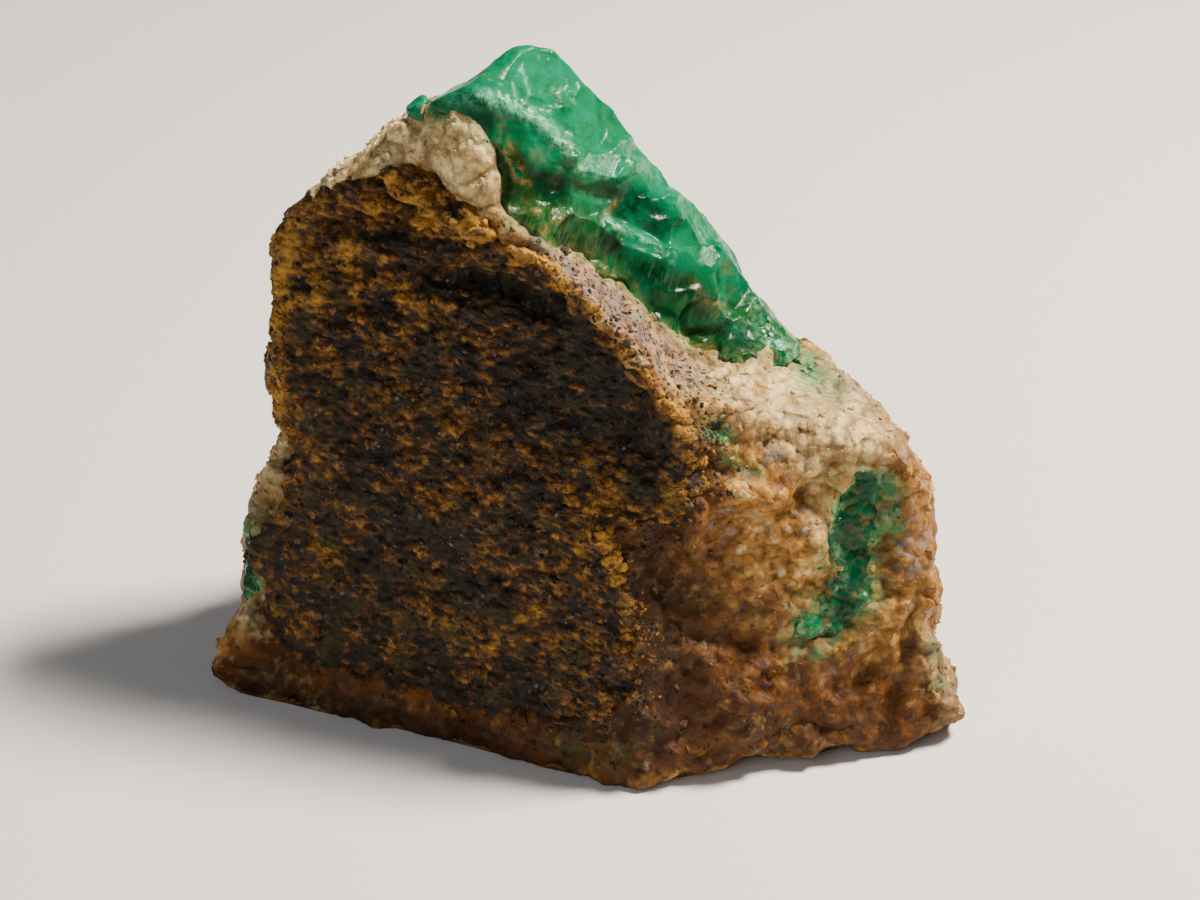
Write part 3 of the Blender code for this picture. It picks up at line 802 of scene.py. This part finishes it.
slabShape = {
    "margin": 1.4,            # mm past the slab's edge, hidden under the feldspar
    "depth": 3.0,             # mm
    "layers": (1.35, 1.0, 0.75),  # the flakes lie longer one way
    "grains": [(2.8, 0.55), (1.25, 0.48), (0.6, 0.28)],
    # pixels from the top or the left between which it grows rougher, and from the top, rustier
    "roughDown": (440, 250),
    "roughAcross": (285, 340),
    "rustDown": (420, 260),
    "cuts": {
        "upper left": ((330, 260), 50, (-0.15, 0.15), 0.2),
        "middle": ((430, 420), 80, (0.05, 0.05), 0.15),
        "black face": ((600, 400), 56, (0.15, -0.1), 0.25),
        "lower": ((420, 600), 80, (-0.05, -0.1), 0.2),
    },
    "relief": {
        "rim ledge": ([(400, 200), (450, 218), (500, 236), (556, 268), (612, 318), (660, 374)], 0.9, 0.6),
        "recess": ([(436, 272), (500, 284), (556, 300)], 0.75, -0.8),
        "second ledge": ([(330, 236), (390, 246), (436, 258)], 0.7, 0.45),
        "pit by rim": ([(398, 204), (412, 208)], 0.5, -0.7),
        "black hollow": ([(580, 360), (620, 400), (640, 450)], 1.8, -0.45),
        "left swell": ([(310, 420), (350, 560)], 2.6, 0.35),
        "fold": ([(600, 520), (622, 590), (634, 660)], 0.9, 0.8),
        "right crumbs": ([(650, 400), (690, 450), (700, 500)], 1.0, 0.4),
    },
    "rust": {
        "rim ledge": ([(380, 190), (450, 214), (510, 240), (560, 270)], 1.3, 1.5),
        "rim right": ([(600, 310), (650, 370), (690, 420), (706, 470)], 0.9, 0.9),
        "left edge": ([(280, 240), (272, 330), (276, 420)], 1.0, 1.7),
        "fold": ([(598, 510), (622, 580), (636, 650)], 1.0, 1.5),
        "end": ([(640, 530), (690, 490)], 1.2, 1.0),
        "lower right": ([(560, 640), (610, 690)], 1.8, 0.4),
        "middle": ([(560, 460), (580, 540)], 1.8, 0.35),
        "left middle": ([(300, 320), (340, 400)], 1.8, 0.3),
        "crumbs": ([(370, 210), (400, 260)], 1.2, 0.35),
    },
    # the black marks, which darken the schist, are mostly painted shade: in the recess under the rim ledge,
    # under the rim, on the shadow patch and along the bottom
    "black": {
        "recess": ([(436, 274), (500, 286), (560, 304)], 0.8, 1.0),
        "under rim": ([(470, 300), (560, 330), (620, 390)], 1.8, 0.6),
        "shadow patch": ([(590, 350), (640, 430), (650, 480)], 2.0, 0.6),
        "black middle": ([(520, 380), (560, 440)], 2.0, 0.5),
        "upper left": ([(330, 220), (400, 240), (430, 250)], 1.4, 0.5),
        "lower": ([(340, 480), (400, 520), (470, 560)], 1.6, 0.3),
        "bottom": ([(300, 660), (420, 690), (540, 720)], 1.8, 0.7),
    },
}


def makeSlab(skin, material):
    shape = slabShape
    slab, points, normals, reach = cutPatch(skin, "mica_schist", shape["margin"])
    cleave(points, normals, shape["cuts"])
    lift = 0.35 * lumpsAt(points, 4.0, 3, 21)
    crease = np.zeros(len(points))
    across, down = photoPixels(points)
    rough = 0.85 + 0.6 * smoothStep(down, *shape["roughDown"])
    rough += 0.3 * markStrength(points, normals, shape["rust"])
    rough *= 0.4 + 0.6 * smoothStep(across, *shape["roughAcross"])
    for level, (size, high) in enumerate(shape["grains"]):
        low, ridge, own = brokenCells(points, size, 31 + 4 * level, shape["layers"])
        lift -= high * low * rough
        crease += high * (1 - smoothStep(ridge, 0.0, 0.25))
        tone = own[:, 1] if level == 0 else 0.4 * tone + 0.6 * own[:, 1]
    lift += markStrength(points, normals, shape["relief"])
    lift -= 0.9 * smoothStep(-reach, 0.0, 1.2)
    raisePoints(slab, points, normals, lift)
    edge = smoothStep(-reach, -1.8, 0.2)
    clumps = 0.7 + 1.1 * lumpsAt(points, 2.4, 3, 25)
    upper = smoothStep(down, *shape["rustDown"])
    rust = (markStrength(points, normals, shape["rust"]) + 0.35 * edge + 0.45 * upper) * clumps
    paint(slab, "rust", np.clip(rust, 0, 1.6))
    # painted shade where marked black
    paint(slab, "black", np.clip(markStrength(points, normals, shape["black"]), 0, 1.2))
    # pits and creases, darkened in the schist as painted shade
    paint(slab, "hollow", np.clip(hollowsOf(slab, 0.3, 24) + 0.6 * np.clip(crease, 0, 1), -0.4, 1))
    paint(slab, "tone", tone)
    thinOut(slab, smoothStep(-reach, 0.6, 1.2) * 0.9 + 0.1)
    closeTowardsHeart(slab, shape["depth"])
    return finishPiece(slab, "micaSchistSlab", material, "mica_schist")


# Emerald

emeraldLook = {
    "deep": "#012312",        # where the crystal is clear enough to see into, and painted shade in its pits and hollows
    "forest": "#034f30",
    "green": "#046c42",       # cloudy beryl coloured by chromium
    "teal": "#027553",
    "mint": "#0f8f63",        # frosted edges
    "milk": "#79c69a",        # veils of tiny cracks, and painted glints
    "leaf": "#154a1c",        # lower down, a little stained
    "tan": "#806332",
    "olive": "#263a12",
    "rib": "#4f7a48",         # growth lines, seen from the side
    "haze": 2.4,              # mm, slow clouds of colour
    "crack": 0.7,             # mm
    "line": 1.0,              # mm, growth lines before they are stretched
    "crackRelief": 0.12,      # mm, in the shading only
    "roughness": 0.16,
}


def makeEmerald():
    # Cloudy emerald, snapped off: glassy broken faces over a green that light soaks into, with
    # milky veils, painted glints, pale frosted edges and a little brown stain
    look = emeraldLook
    gem, place, deep, milk, ribs, tan, edge, high = newMaterial(
        "cloudyEmerald", "deep", "milk", "ribs", "tan", "edge", "high")
    laid = addNode(gem, "Mapping", {
        "Vector": place, "Rotation": (0, math.radians(crystalShape["ribLean"]), 0),
        "Scale": crystalShape["ribStretch"]}, vector_type="TEXTURE")
    haze, cloud, lines = [
        addNode(gem, "TexNoise", {"Vector": vector, "Scale": 1 / (look[size] * mm), "Detail": detail,
                                  "Roughness": rough, "Distortion": distortion})
        for vector, size, detail, rough, distortion in (
            (place, "haze", 4, 0.55, 0.9), (place, "crack", 5, 0.7, 0.8), (laid, "line", 4, 0.6, 0.3))]
    # the upper colours are paler: the crystal's own, with painted light coming through near its top
    upper = addNode(gem, "ValToRGB", {"Fac": haze}, stops=[
        (0.30, look["forest"]), (0.46, look["green"]), (0.62, look["teal"]), (0.95, look["mint"])])
    lower = addNode(gem, "ValToRGB", {"Fac": haze}, stops=[
        (0.32, look["deep"]), (0.46, look["leaf"]), (0.58, look["forest"]), (0.74, look["green"])])
    base = addNode(gem, "Mix", {"Factor": high, "A": lower, "B": upper}, data_type="RGBA")
    stain = layColours(gem, look["olive"], [(look["tan"], 1.0, haze, 0.42, 0.6)])
    base = layColours(gem, base, (
        (look["deep"], deep, cloud, 0.3, 0.6, 0.6, 1.15),
        (stain, tan, cloud, 0.42, 0.62),
        # pale veils, and painted glints
        (look["milk"], milk, cloud, 0.42, 0.62),
        (look["rib"], ribs, lines, 0.5, 0.62, 0.0, 0.5),
        (look["mint"], 1.0, edge, 0.0, 1.0, 0.0, 0.2)))

    gloss = addNode(gem, "MapRange", {
        "Value": cloud, **between(0.35, 0.65, look["roughness"] - 0.06, look["roughness"] + 0.12)})
    bump = addNode(gem, "Bump", {
        "Height": cloud, "Strength": 0.3, "Distance": look["crackRelief"] * mm})
    surface = addNode(gem, "BsdfPrincipled", {
        "Base Color": base, "Roughness": gloss, "Normal": bump, "IOR": 1.58, "Specular IOR Level": 0.06,
        "Subsurface Weight": 0.25, "Subsurface Scale": 0.7 * mm, "Subsurface Radius": (0.3, 1.0, 0.6),
        "Transmission Weight": 0.1})
    addNode(gem, "OutputMaterial", {"Surface": surface})
    return gem


crystalShape = {
    "margin": 1.2,
    "depth": 6.0,
    # hollow broken faces, their size in mm, height in mm and stretch
    "breaks": [(5.5, 0.8, (1.2, 1.0, 0.9)), (2.2, 0.26, (1.3, 1.0, 0.8)), (0.8, 0.07, (1, 1, 1))],
    "chips": 16,                    # small flat faces here and there
    "thinEnd": (480, 530),          # pixels across, left of which it is too thin to break deep
    # the upper colours set in between these pixels: on a slant, this times those across less those
    # down, and from the top. Near the apex all of it has them
    # the upper colours are partly painted light coming through the top of the crystal
    "upperSlant": (1.15, 420, 540),
    "upperDown": (330, 230),
    "apexDown": (200, 120),
    "ribLean": 22,                  # degrees from upright
    "ribStretch": (0.28, 1.0, 2.6), # across the ribs, through them and along them
    "cuts": {
        "apex face": ((548, 80), 44, (0.05, 0.2), 0.3),
        "apex right": ((590, 118), 40, (0.4, 0.1), 0.35),
        "right face": ((644, 172), 34, (0.35, 0.05), 0.3),
        "bright facet": ((698, 220), 34, (0.1, 0.0), 0.25),
        "middle hollow face": ((590, 238), 34, (-0.2, -0.3), 0.25),
        "streak face": ((640, 246), 28, (0.1, 0.4), 0.15),
        "lower facet": ((726, 288), 34, (0.5, 0.0), 0.3),
        "lowest face": ((702, 326), 28, (-0.2, -0.3), 0.2),
    },
    "relief": {
        "milk ridge": ([(470, 96), (505, 104), (540, 122), (572, 154)], 0.7, 0.4),
        "bright shelf": ([(566, 156), (590, 168), (616, 174), (640, 160)], 0.5, 0.4),
        "under bright shelf": ([(574, 188), (610, 196)], 0.6, -0.35),
        "dark hollow left": ([(512, 160), (530, 176), (556, 186)], 0.8, -0.3),
        "pale streak rib": ([(608, 222), (650, 242), (690, 264)], 0.35, 0.3),
    },
    "crust": {
        "milk ridge": ([(470, 96), (512, 104), (540, 118), (572, 154)], 0.7, 1.0),
        "end": ([(760, 326), (790, 350)], 1.2, 1.0),
        "lower": ([(716, 306), (736, 330)], 1.0, 0.4),
    },
    # deep green where marked: partly the clear crystal seen into, partly painted shade in the hollows and
    # under the shelf
    "deep": {
        "left hollow": ([(512, 156), (530, 178), (556, 190)], 1.0, 1.0),
        "left edge": ([(482, 104), (500, 120)], 0.7, 0.7),
        "middle": ([(616, 206), (646, 206), (666, 222)], 1.1, 0.9),
        "middle left": ([(580, 250), (600, 236), (618, 250)], 0.9, 0.8),
        "right": ([(640, 270), (664, 278), (690, 292)], 1.3, 1.0),
        "lower": ([(650, 312), (676, 320)], 0.8, 0.6),
        "lowest": ([(712, 330), (744, 338)], 0.9, 0.8),
        "right small": ([(684, 226), (694, 236)], 0.7, 0.5),
        "under shelf": ([(606, 186), (640, 190)], 0.6, 0.6),
        "right edge": ([(730, 270), (756, 306)], 0.7, 0.4),
        "foot": ([(690, 340), (730, 352), (764, 340)], 1.0, 0.4),
        "below milk": ([(548, 176), (580, 180)], 0.7, 0.6),
    },
    # pale where marked: veils of tiny cracks, with painted glints on the streaks, the bright spots, the
    # bright shelf and the marks named glint
    "milk": {
        "milk ridge": ([(480, 96), (512, 104), (540, 118), (566, 146)], 0.6, 0.7),
        "veil streak one": ([(521, 62), (526, 78), (530, 92)], 0.13, 0.9),
        "veil streak two": ([(513, 82), (518, 102)], 0.12, 0.8),
        "bright spot one": ([(553, 88), (558, 94)], 0.2, 0.7),
        "bright spot two": ([(570, 98), (576, 102)], 0.15, 0.6),
        "bright shelf": ([(576, 166), (592, 172), (612, 176)], 0.3, 0.9),
        "shelf glint": ([(590, 156), (600, 162)], 0.2, 0.8),
        "shelf right": ([(622, 142), (630, 158)], 0.25, 0.4),
        "pale ridge": ([(634, 162), (658, 172)], 0.5, 0.3),
        "pale streak": ([(608, 220), (640, 236), (664, 252), (690, 264)], 0.24, 0.8),
        "pale fan": ([(606, 212), (616, 226)], 0.2, 0.6),
        "streak glint": ([(700, 232), (706, 246)], 0.15, 0.7),
        "low spots": ([(744, 298), (756, 306)], 0.35, 0.5),
        "left rim": ([(446, 98), (476, 96)], 0.5, 0.4),
        "band edge": ([(620, 290), (650, 316), (690, 352)], 0.4, 0.45),
        "end crust": ([(770, 338), (792, 352), (800, 366)], 0.5, 0.5),
    },
    "ribs": {
        "right edge": ([(600, 130), (634, 158)], 1.4, 0.8),
        "left side": ([(532, 232), (560, 226), (600, 244)], 2.0, 1.0),
        "dark facet": ([(652, 268), (670, 290)], 0.9, 0.5),
        "lower": ([(690, 296), (712, 330)], 1.2, 0.4),
        "bright facet": ([(690, 206), (706, 230)], 1.0, 0.35),
    },
    # tan stain where marked; by knob, hollow edge and shelf underside also put brown painted shade into the
    # hollow beside the knob and under the shelf
    "tan": {
        "spot one": ([(708, 302), (720, 310)], 0.75, 1.0),
        "spot two": ([(690, 280), (698, 284)], 0.4, 0.9),
        "spot three": ([(725, 264), (728, 270)], 0.35, 0.9),
        "spot four": ([(750, 302), (756, 308)], 0.4, 0.6),
        "streak": ([(604, 214), (618, 200)], 0.35, 0.9),
        "left side": ([(530, 200), (556, 226), (580, 256)], 1.6, 0.9),
        "shelf underside": ([(566, 142), (580, 176), (600, 194)], 0.6, 0.6),
        "lower edge": ([(640, 330), (676, 340), (700, 350)], 0.8, 0.8),
        "hollow edge": ([(536, 150), (560, 166)], 0.6, 0.4),
        "by knob": ([(500, 124), (512, 150), (518, 190)], 0.8, 1.0),
        "by band": ([(560, 256), (610, 272)], 0.8, 0.7),
    },
}


def chipsOn(points, normals, count):
    # small cuts at pixels picked on the crystal's own front, each leaning its own way
    random = np.random.default_rng(17)
    across, down = photoPixels(points)
    front = np.flatnonzero(normals @ away < -0.5)
    chips = {f"chip {number}": ((across[index], down[index]), random.uniform(14, 30),
                                random.uniform(-0.3, 0.3, 2), random.uniform(0.05, 0.25))
             for number, index in enumerate(random.choice(front, count, replace=False))}
    return {name: chip for name, chip in chips.items() if chip[0][0] > crystalShape["thinEnd"][1]}


def makeCrystal(skin, material):
    shape = crystalShape
    crystal, points, normals, reach = cutPatch(skin, "emerald_crystal", shape["margin"])
    across, down = photoPixels(points)
    inner = smoothStep(reach, -0.5, 2.5) * (0.2 + 0.8 * smoothStep(across, *shape["thinEnd"]))
    flat = cleave(points, normals, shape["cuts"])
    crust = np.clip(markStrength(points, normals, shape["crust"]), 0, 1)
    ribs = np.clip(markStrength(points, normals, shape["ribs"]), 0, 1)
    lift = 0.05 * lumpsAt(points, 1.2, 3, 31) + 0.05 * ribs * ribsAt(points, 1.0)
    for level, (size, tall, stretch) in enumerate(shape["breaks"]):
        low, ridge, _ = brokenCells(points, size, 51 + 4 * level, stretch)
        lift += tall * low * (1 - 0.75 * flat)
        if level == 1:
            sharp = (1 - smoothStep(ridge, 0.0, 0.1)) * (1 - flat)
    lift -= 0.35 * brokenCells(points, 0.7, 67)[0] * crust
    lift += markStrength(points, normals, shape["relief"])
    lift = lift * (0.3 + 0.7 * inner) - 0.9 * smoothStep(-reach, 0.0, 1.0)
    raisePoints(crystal, points, normals, lift)
    normals = normalsOf(crystal)
    cleave(points, normals, chipsOn(points, normals, shape["chips"]))
    movePoints(crystal, points)
    ridges = np.clip(-1.2 * hollowsOf(crystal, 0.4, 20) - 0.4, 0, 1)
    pits = np.clip(hollowsOf(crystal, 0.5, 40), 0, 1)
    behind = smoothStep(normals @ away, -0.1, 0.4)
    across, down = photoPixels(points)
    # where the paler upper colours go, partly painted light through the top
    slant, start, end = shape["upperSlant"]
    high = smoothStep(slant * across - down, start, end) * smoothStep(down, *shape["upperDown"])
    high = np.maximum(high, smoothStep(down, *shape["apexDown"]))
    border = smoothStep(-reach, -1.2, 0.1)
    cloud = smoothStep(lumpsAt(points, 4.0, 3, 35), -0.1, 0.5)
    # the deep green in the pits is painted shade
    deep = markStrength(points, normals, shape["deep"]) + 0.6 * behind * cloud + 0.5 * pits
    paintAmounts(crystal, deep=deep, milk=markStrength(points, normals, shape["milk"]) + 0.25 * crust,
                 ribs=ribs, tan=markStrength(points, normals, shape["tan"]) + 0.6 * border,
                 edge=ridges + 0.25 * sharp, high=high)
    thinOut(crystal, smoothStep(-reach, 0.6, 1.2) * 0.9 + 0.1)
    closeTowardsHeart(crystal, shape["depth"])
    return finishPiece(crystal, "emeraldCrystal", material, "emerald_crystal")


smallEmeralds = {
    "emerald_vein": {"name": "emeraldVein", "margin": 0.9, "depth": 1.6},
    "emerald_left_grain": {"name": "emeraldLeftGrain", "margin": 0.8, "depth": 1.4},
}


def makeSmallEmerald(skin, node, material):
    shape = smallEmeralds[node]
    grain, points, normals, reach = cutPatch(skin, node, shape["margin"])
    low, _, own = brokenCells(points, 1.3, 71)
    lift = -0.35 * low - 0.15 + 0.15 * lumpsAt(points, 1.5, 3, 43)
    low, _, fine = brokenCells(points, 0.6, 75)
    lift -= 0.2 * low
    lift -= 0.9 * smoothStep(-reach, 0.0, 0.9)
    raisePoints(grain, points, normals, lift)
    border = smoothStep(-reach, -0.8, 0.1)
    paintAmounts(grain, deep=0.15 + 0.4 * (own[:, 1] > 0.6) - 0.4 * border, high=0.25,
                 milk=0.5 * border * fine[:, 1], tan=0.6 * border + 0.7 * (fine[:, 2] > 0.6))
    closeTowardsHeart(grain, shape["depth"])
    return finishPiece(grain, shape["name"], material, node)


tipShape = {
    "voxel": 0.14,            # mm
    "breaks": (1.4, 0.25),    # size and height in mm
}


def makeTip(material):
    tip = copyOfNode("emerald_tip")
    applyModifier(tip, "REMESH", mode="VOXEL", voxel_size=tipShape["voxel"] * mm)
    applyModifier(tip, "SMOOTH", factor=0.5, iterations=2)
    points = pointsOf(tip)
    size, tall = tipShape["breaks"]
    raisePoints(tip, points, normalsOf(tip), tall * brokenCells(points, size, 81)[0])
    paintAmounts(tip, deep=0.1, milk=0.1, edge=0.1, high=1)
    return finishPiece(tip, "emeraldTip", material, "emerald_tip")


# Loose-looking crumbs and flakes, joined into one mesh of each kind

micaLook = {
    "dark": "#0d0a06",
    "bronze": "#5a4224",
    "mottle": 0.5,            # mm
    "roughness": 0.3,
}


def makeMica():
    # Biotite: single dark sheets, smooth where they split, so they glint bronze at the right angle
    look = micaLook
    mica, place, tone = newMaterial("biotiteFlakes", "tone")
    mottle = addNode(mica, "TexNoise", {
        "Vector": place, "Scale": 1 / (look["mottle"] * mm), "Detail": 4, "Roughness": 0.7})
    shade = addNode(mica, "Math", {0: mottle, 1: tone}, operation="MULTIPLY")
    base = addNode(mica, "ValToRGB", {"Fac": shade}, stops=[(0.2, look["dark"]), (0.6, look["bronze"])])
    bump = addNode(mica, "Bump", {"Height": mottle, "Strength": 0.3, "Distance": 0.05 * mm})
    surface = addNode(mica, "BsdfPrincipled", {
        "Base Color": base, "Roughness": look["roughness"], "Normal": bump, "IOR": 1.6})
    addNode(mica, "OutputMaterial", {"Surface": surface})
    return mica


crumbSets = {
    # how many, least and most size in mm, how flat, how far they stand out, how much they lean and
    # the random seed
    "schistCrumbs": (4200, 0.3, 1.1, 0.85, -0.2, 0.8, 5),
    "strayCrumbs": (900, 0.3, 0.8, 0.8, -0.2, 0.8, 9),
    "micaFlakes": (600, 0.2, 0.45, 1.0, 0.0, 0.3, 6),
    "feldsparGrains": (3000, 0.4, 1.5, 0.7, -0.22, 0.7, 7),
    "emeraldChips": (120, 0.3, 0.9, 0.7, -0.15, 0.7, 8),
}


def roughShape(addPrimitive, jitter, seed, **settings):
    # gives the points and triangles of a primitive of size 1 with its points shaken
    addPrimitive(radius=0.5, **settings)
    thing = bpy.context.object
    with editing(thing):
        bpy.ops.mesh.select_all(action="SELECT")
        bpy.ops.transform.vertex_random(offset=jitter, seed=seed)
        bpy.ops.mesh.quads_convert_to_tris()
    points = pointsOf(thing)
    faces = np.array([p.vertices[:] for p in thing.data.polygons])
    bpy.data.objects.remove(thing)
    return points, faces


def scatter(name, shapes, parent, weights, material):
    # sets the shapes into a piece at points picked by weight, each turned its own way. They take
    # over what is painted there, with a tone of their own
    count, least, most, squash, stand, lean, seed = crumbSets[name]
    random = np.random.default_rng(seed)
    points, normals = pointsOf(parent), normalsOf(parent)
    weights = weights * (points[:, 2] > 1.2 * mm)
    chosen = random.choice(len(points), count, replace=False, p=weights / weights.sum())
    allPoints, allFaces, sizes, start = [], [], [], 0
    for number, index in enumerate(chosen):
        corners, faces = shapes[number % len(shapes)]
        out = normals[index] + lean * random.normal(size=3)
        out /= np.linalg.norm(out)
        side = np.cross(out, random.normal(size=3))
        side /= np.linalg.norm(side)
        axes = np.array([side, np.cross(out, side), out * squash])
        size = (least + (most - least) * random.random() ** 4) * mm
        middle = points[index] + normals[index] * stand * size
        allPoints.append(middle + corners @ axes * size)
        allFaces.append(faces + start)
        sizes.append(len(corners))
        start += len(corners)
    mesh = bpy.data.meshes.new(name)
    allPoints = np.concatenate(allPoints)
    allPoints[:, 2] = np.maximum(allPoints[:, 2], 0)
    mesh.from_pydata(allPoints.tolist(), [], np.concatenate(allFaces).tolist())
    piece = bpy.data.objects.new(name, mesh)
    bpy.context.scene.collection.objects.link(piece)
    for layer in parent.data.attributes:
        if layer.data_type == "FLOAT" and layer.domain == "POINT":
            paint(piece, layer.name, np.repeat(painted(parent, layer.name)[chosen], sizes))
    paint(piece, "tone", np.repeat(random.random(len(chosen)), sizes))
    return finishPiece(piece, name, material, smooth=False)


def outwardness(piece):
    # 1 where the surface faces away from the heart of the rock, 0 on sides and inner faces
    outer = pointsOf(piece) - heart
    outer /= np.linalg.norm(outer, axis=1, keepdims=True)
    return smoothStep(np.sum(normalsOf(piece) * outer, axis=1), 0.1, 0.5)


def makeCrumbs(rock, slab, emerald):
    deselectAll()
    crumbs = [roughShape(bpy.ops.mesh.primitive_ico_sphere_add, 0.22, seed, subdivisions=1)
              for seed in (1, 2, 3, 4)]
    flakes = [roughShape(bpy.ops.mesh.primitive_cylinder_add, 0.1, seed, vertices=6, depth=0.14)
              for seed in (1, 2)]
    outer = outwardness(slab)
    scatter("schistCrumbs", crumbs, slab, outer * (0.4 + painted(slab, "rust")), schist)
    scatter("micaFlakes", flakes, slab, outer, makeMica())
    outer = outwardness(rock)
    stray = scatter("strayCrumbs", crumbs, rock, outer * painted(rock, "nearSlab"), schist)
    paint(stray, "rust", 0.8 * painted(stray, "tone") - 0.6)
    fine = 0.3 + painted(rock, "grey") + painted(rock, "cream")
    scatter("feldsparGrains", crumbs, rock, outer * fine, feldspar)
    chips = scatter("emeraldChips", crumbs, rock, outer * painted(rock, "green") ** 2, emerald)
    tone = painted(chips, "tone")
    paintAmounts(chips, deep=0.6 - 0.6 * tone, milk=0.3 * tone, tan=0.4 * (tone > 0.7), edge=0.2 * tone,
                 high=tone)


say("making materials")
feldspar = makeFeldspar()
schist = makeSchist()
emerald = makeEmerald()
say("shaping the minerals")
rock = makeRock(skin, feldspar)
slab = makeSlab(skin, schist)
crystal = makeCrystal(skin, emerald)
for node in smallEmeralds:
    makeSmallEmerald(skin, node, emerald)
makeTip(emerald)
bpy.data.objects.remove(skin)
say("scattering crumbs and flakes")
makeCrumbs(rock, slab, emerald)


# Floor, light and camera

studio = {
    "floor": "#dcdad5",
    "floorSize": 4,                        # metres
    "world": "#e4e5e6",
    "worldStrength": 0.12,
    "aim": Vector((0, 0, 25)) * mm,        # what the lights point at
    # place and size in metres, power in watts
    "lights": {
        "key": {"place": (0.22, 0.04, 0.36), "size": 0.09, "power": 6.0, "colour": "#fff4e6"},
        "fill": {"place": (-0.25, -0.40, 0.30), "size": 0.40, "power": 0.9, "colour": "#f2f4ff"},
    },
}


def makeStudio():
    deselectAll()
    bpy.ops.mesh.primitive_plane_add(size=studio["floorSize"])
    floor = bpy.context.object
    floor.name = "studioFloor"
    paper, _ = newMaterial("mattePaper")
    surface = addNode(paper, "BsdfPrincipled", {"Base Color": studio["floor"], "Roughness": 0.9})
    addNode(paper, "OutputMaterial", {"Surface": surface})
    floor.data.materials.append(paper)
    world = bpy.data.worlds.new("softRoom")
    world.use_nodes = True
    background = world.node_tree.nodes["Background"]
    background.inputs["Color"].default_value = linear(studio["world"])
    background.inputs["Strength"].default_value = studio["worldStrength"]
    bpy.context.scene.world = world
    for name, light in studio["lights"].items():
        place = Vector(light["place"])
        turn = (studio["aim"] - place).to_track_quat("-Z", "Y").to_euler()
        bpy.ops.object.light_add(type="AREA", location=place, rotation=turn)
        lamp = bpy.context.object
        lamp.name = name + "Light"
        lamp.data.size = light["size"]
        lamp.data.energy = light["power"]
        lamp.data.color = linear(light["colour"])[:3]


def makeCamera():
    (heartX, heartY), (middleX, middleY) = view["heartPixel"], view["middlePixel"]
    right, above = middleX - heartX, heartY - middleY
    target = view["heart"] + (Vector((right, 0, 0)) + upInView * above) / view["pixelsPerMm"] * mm
    place = target - awayFromCamera * view["distance"]
    bpy.ops.object.camera_add(location=place, rotation=awayFromCamera.to_track_quat("-Z", "Y").to_euler())
    camera = bpy.context.object
    camera.name = "photoCamera"
    camera.data.lens = view["lens"]
    camera.data.sensor_width = view["sensor"]
    camera.data.clip_start = 10 * mm
    bpy.context.scene.camera = camera


say("setting floor, light and camera")
makeStudio()
makeCamera()
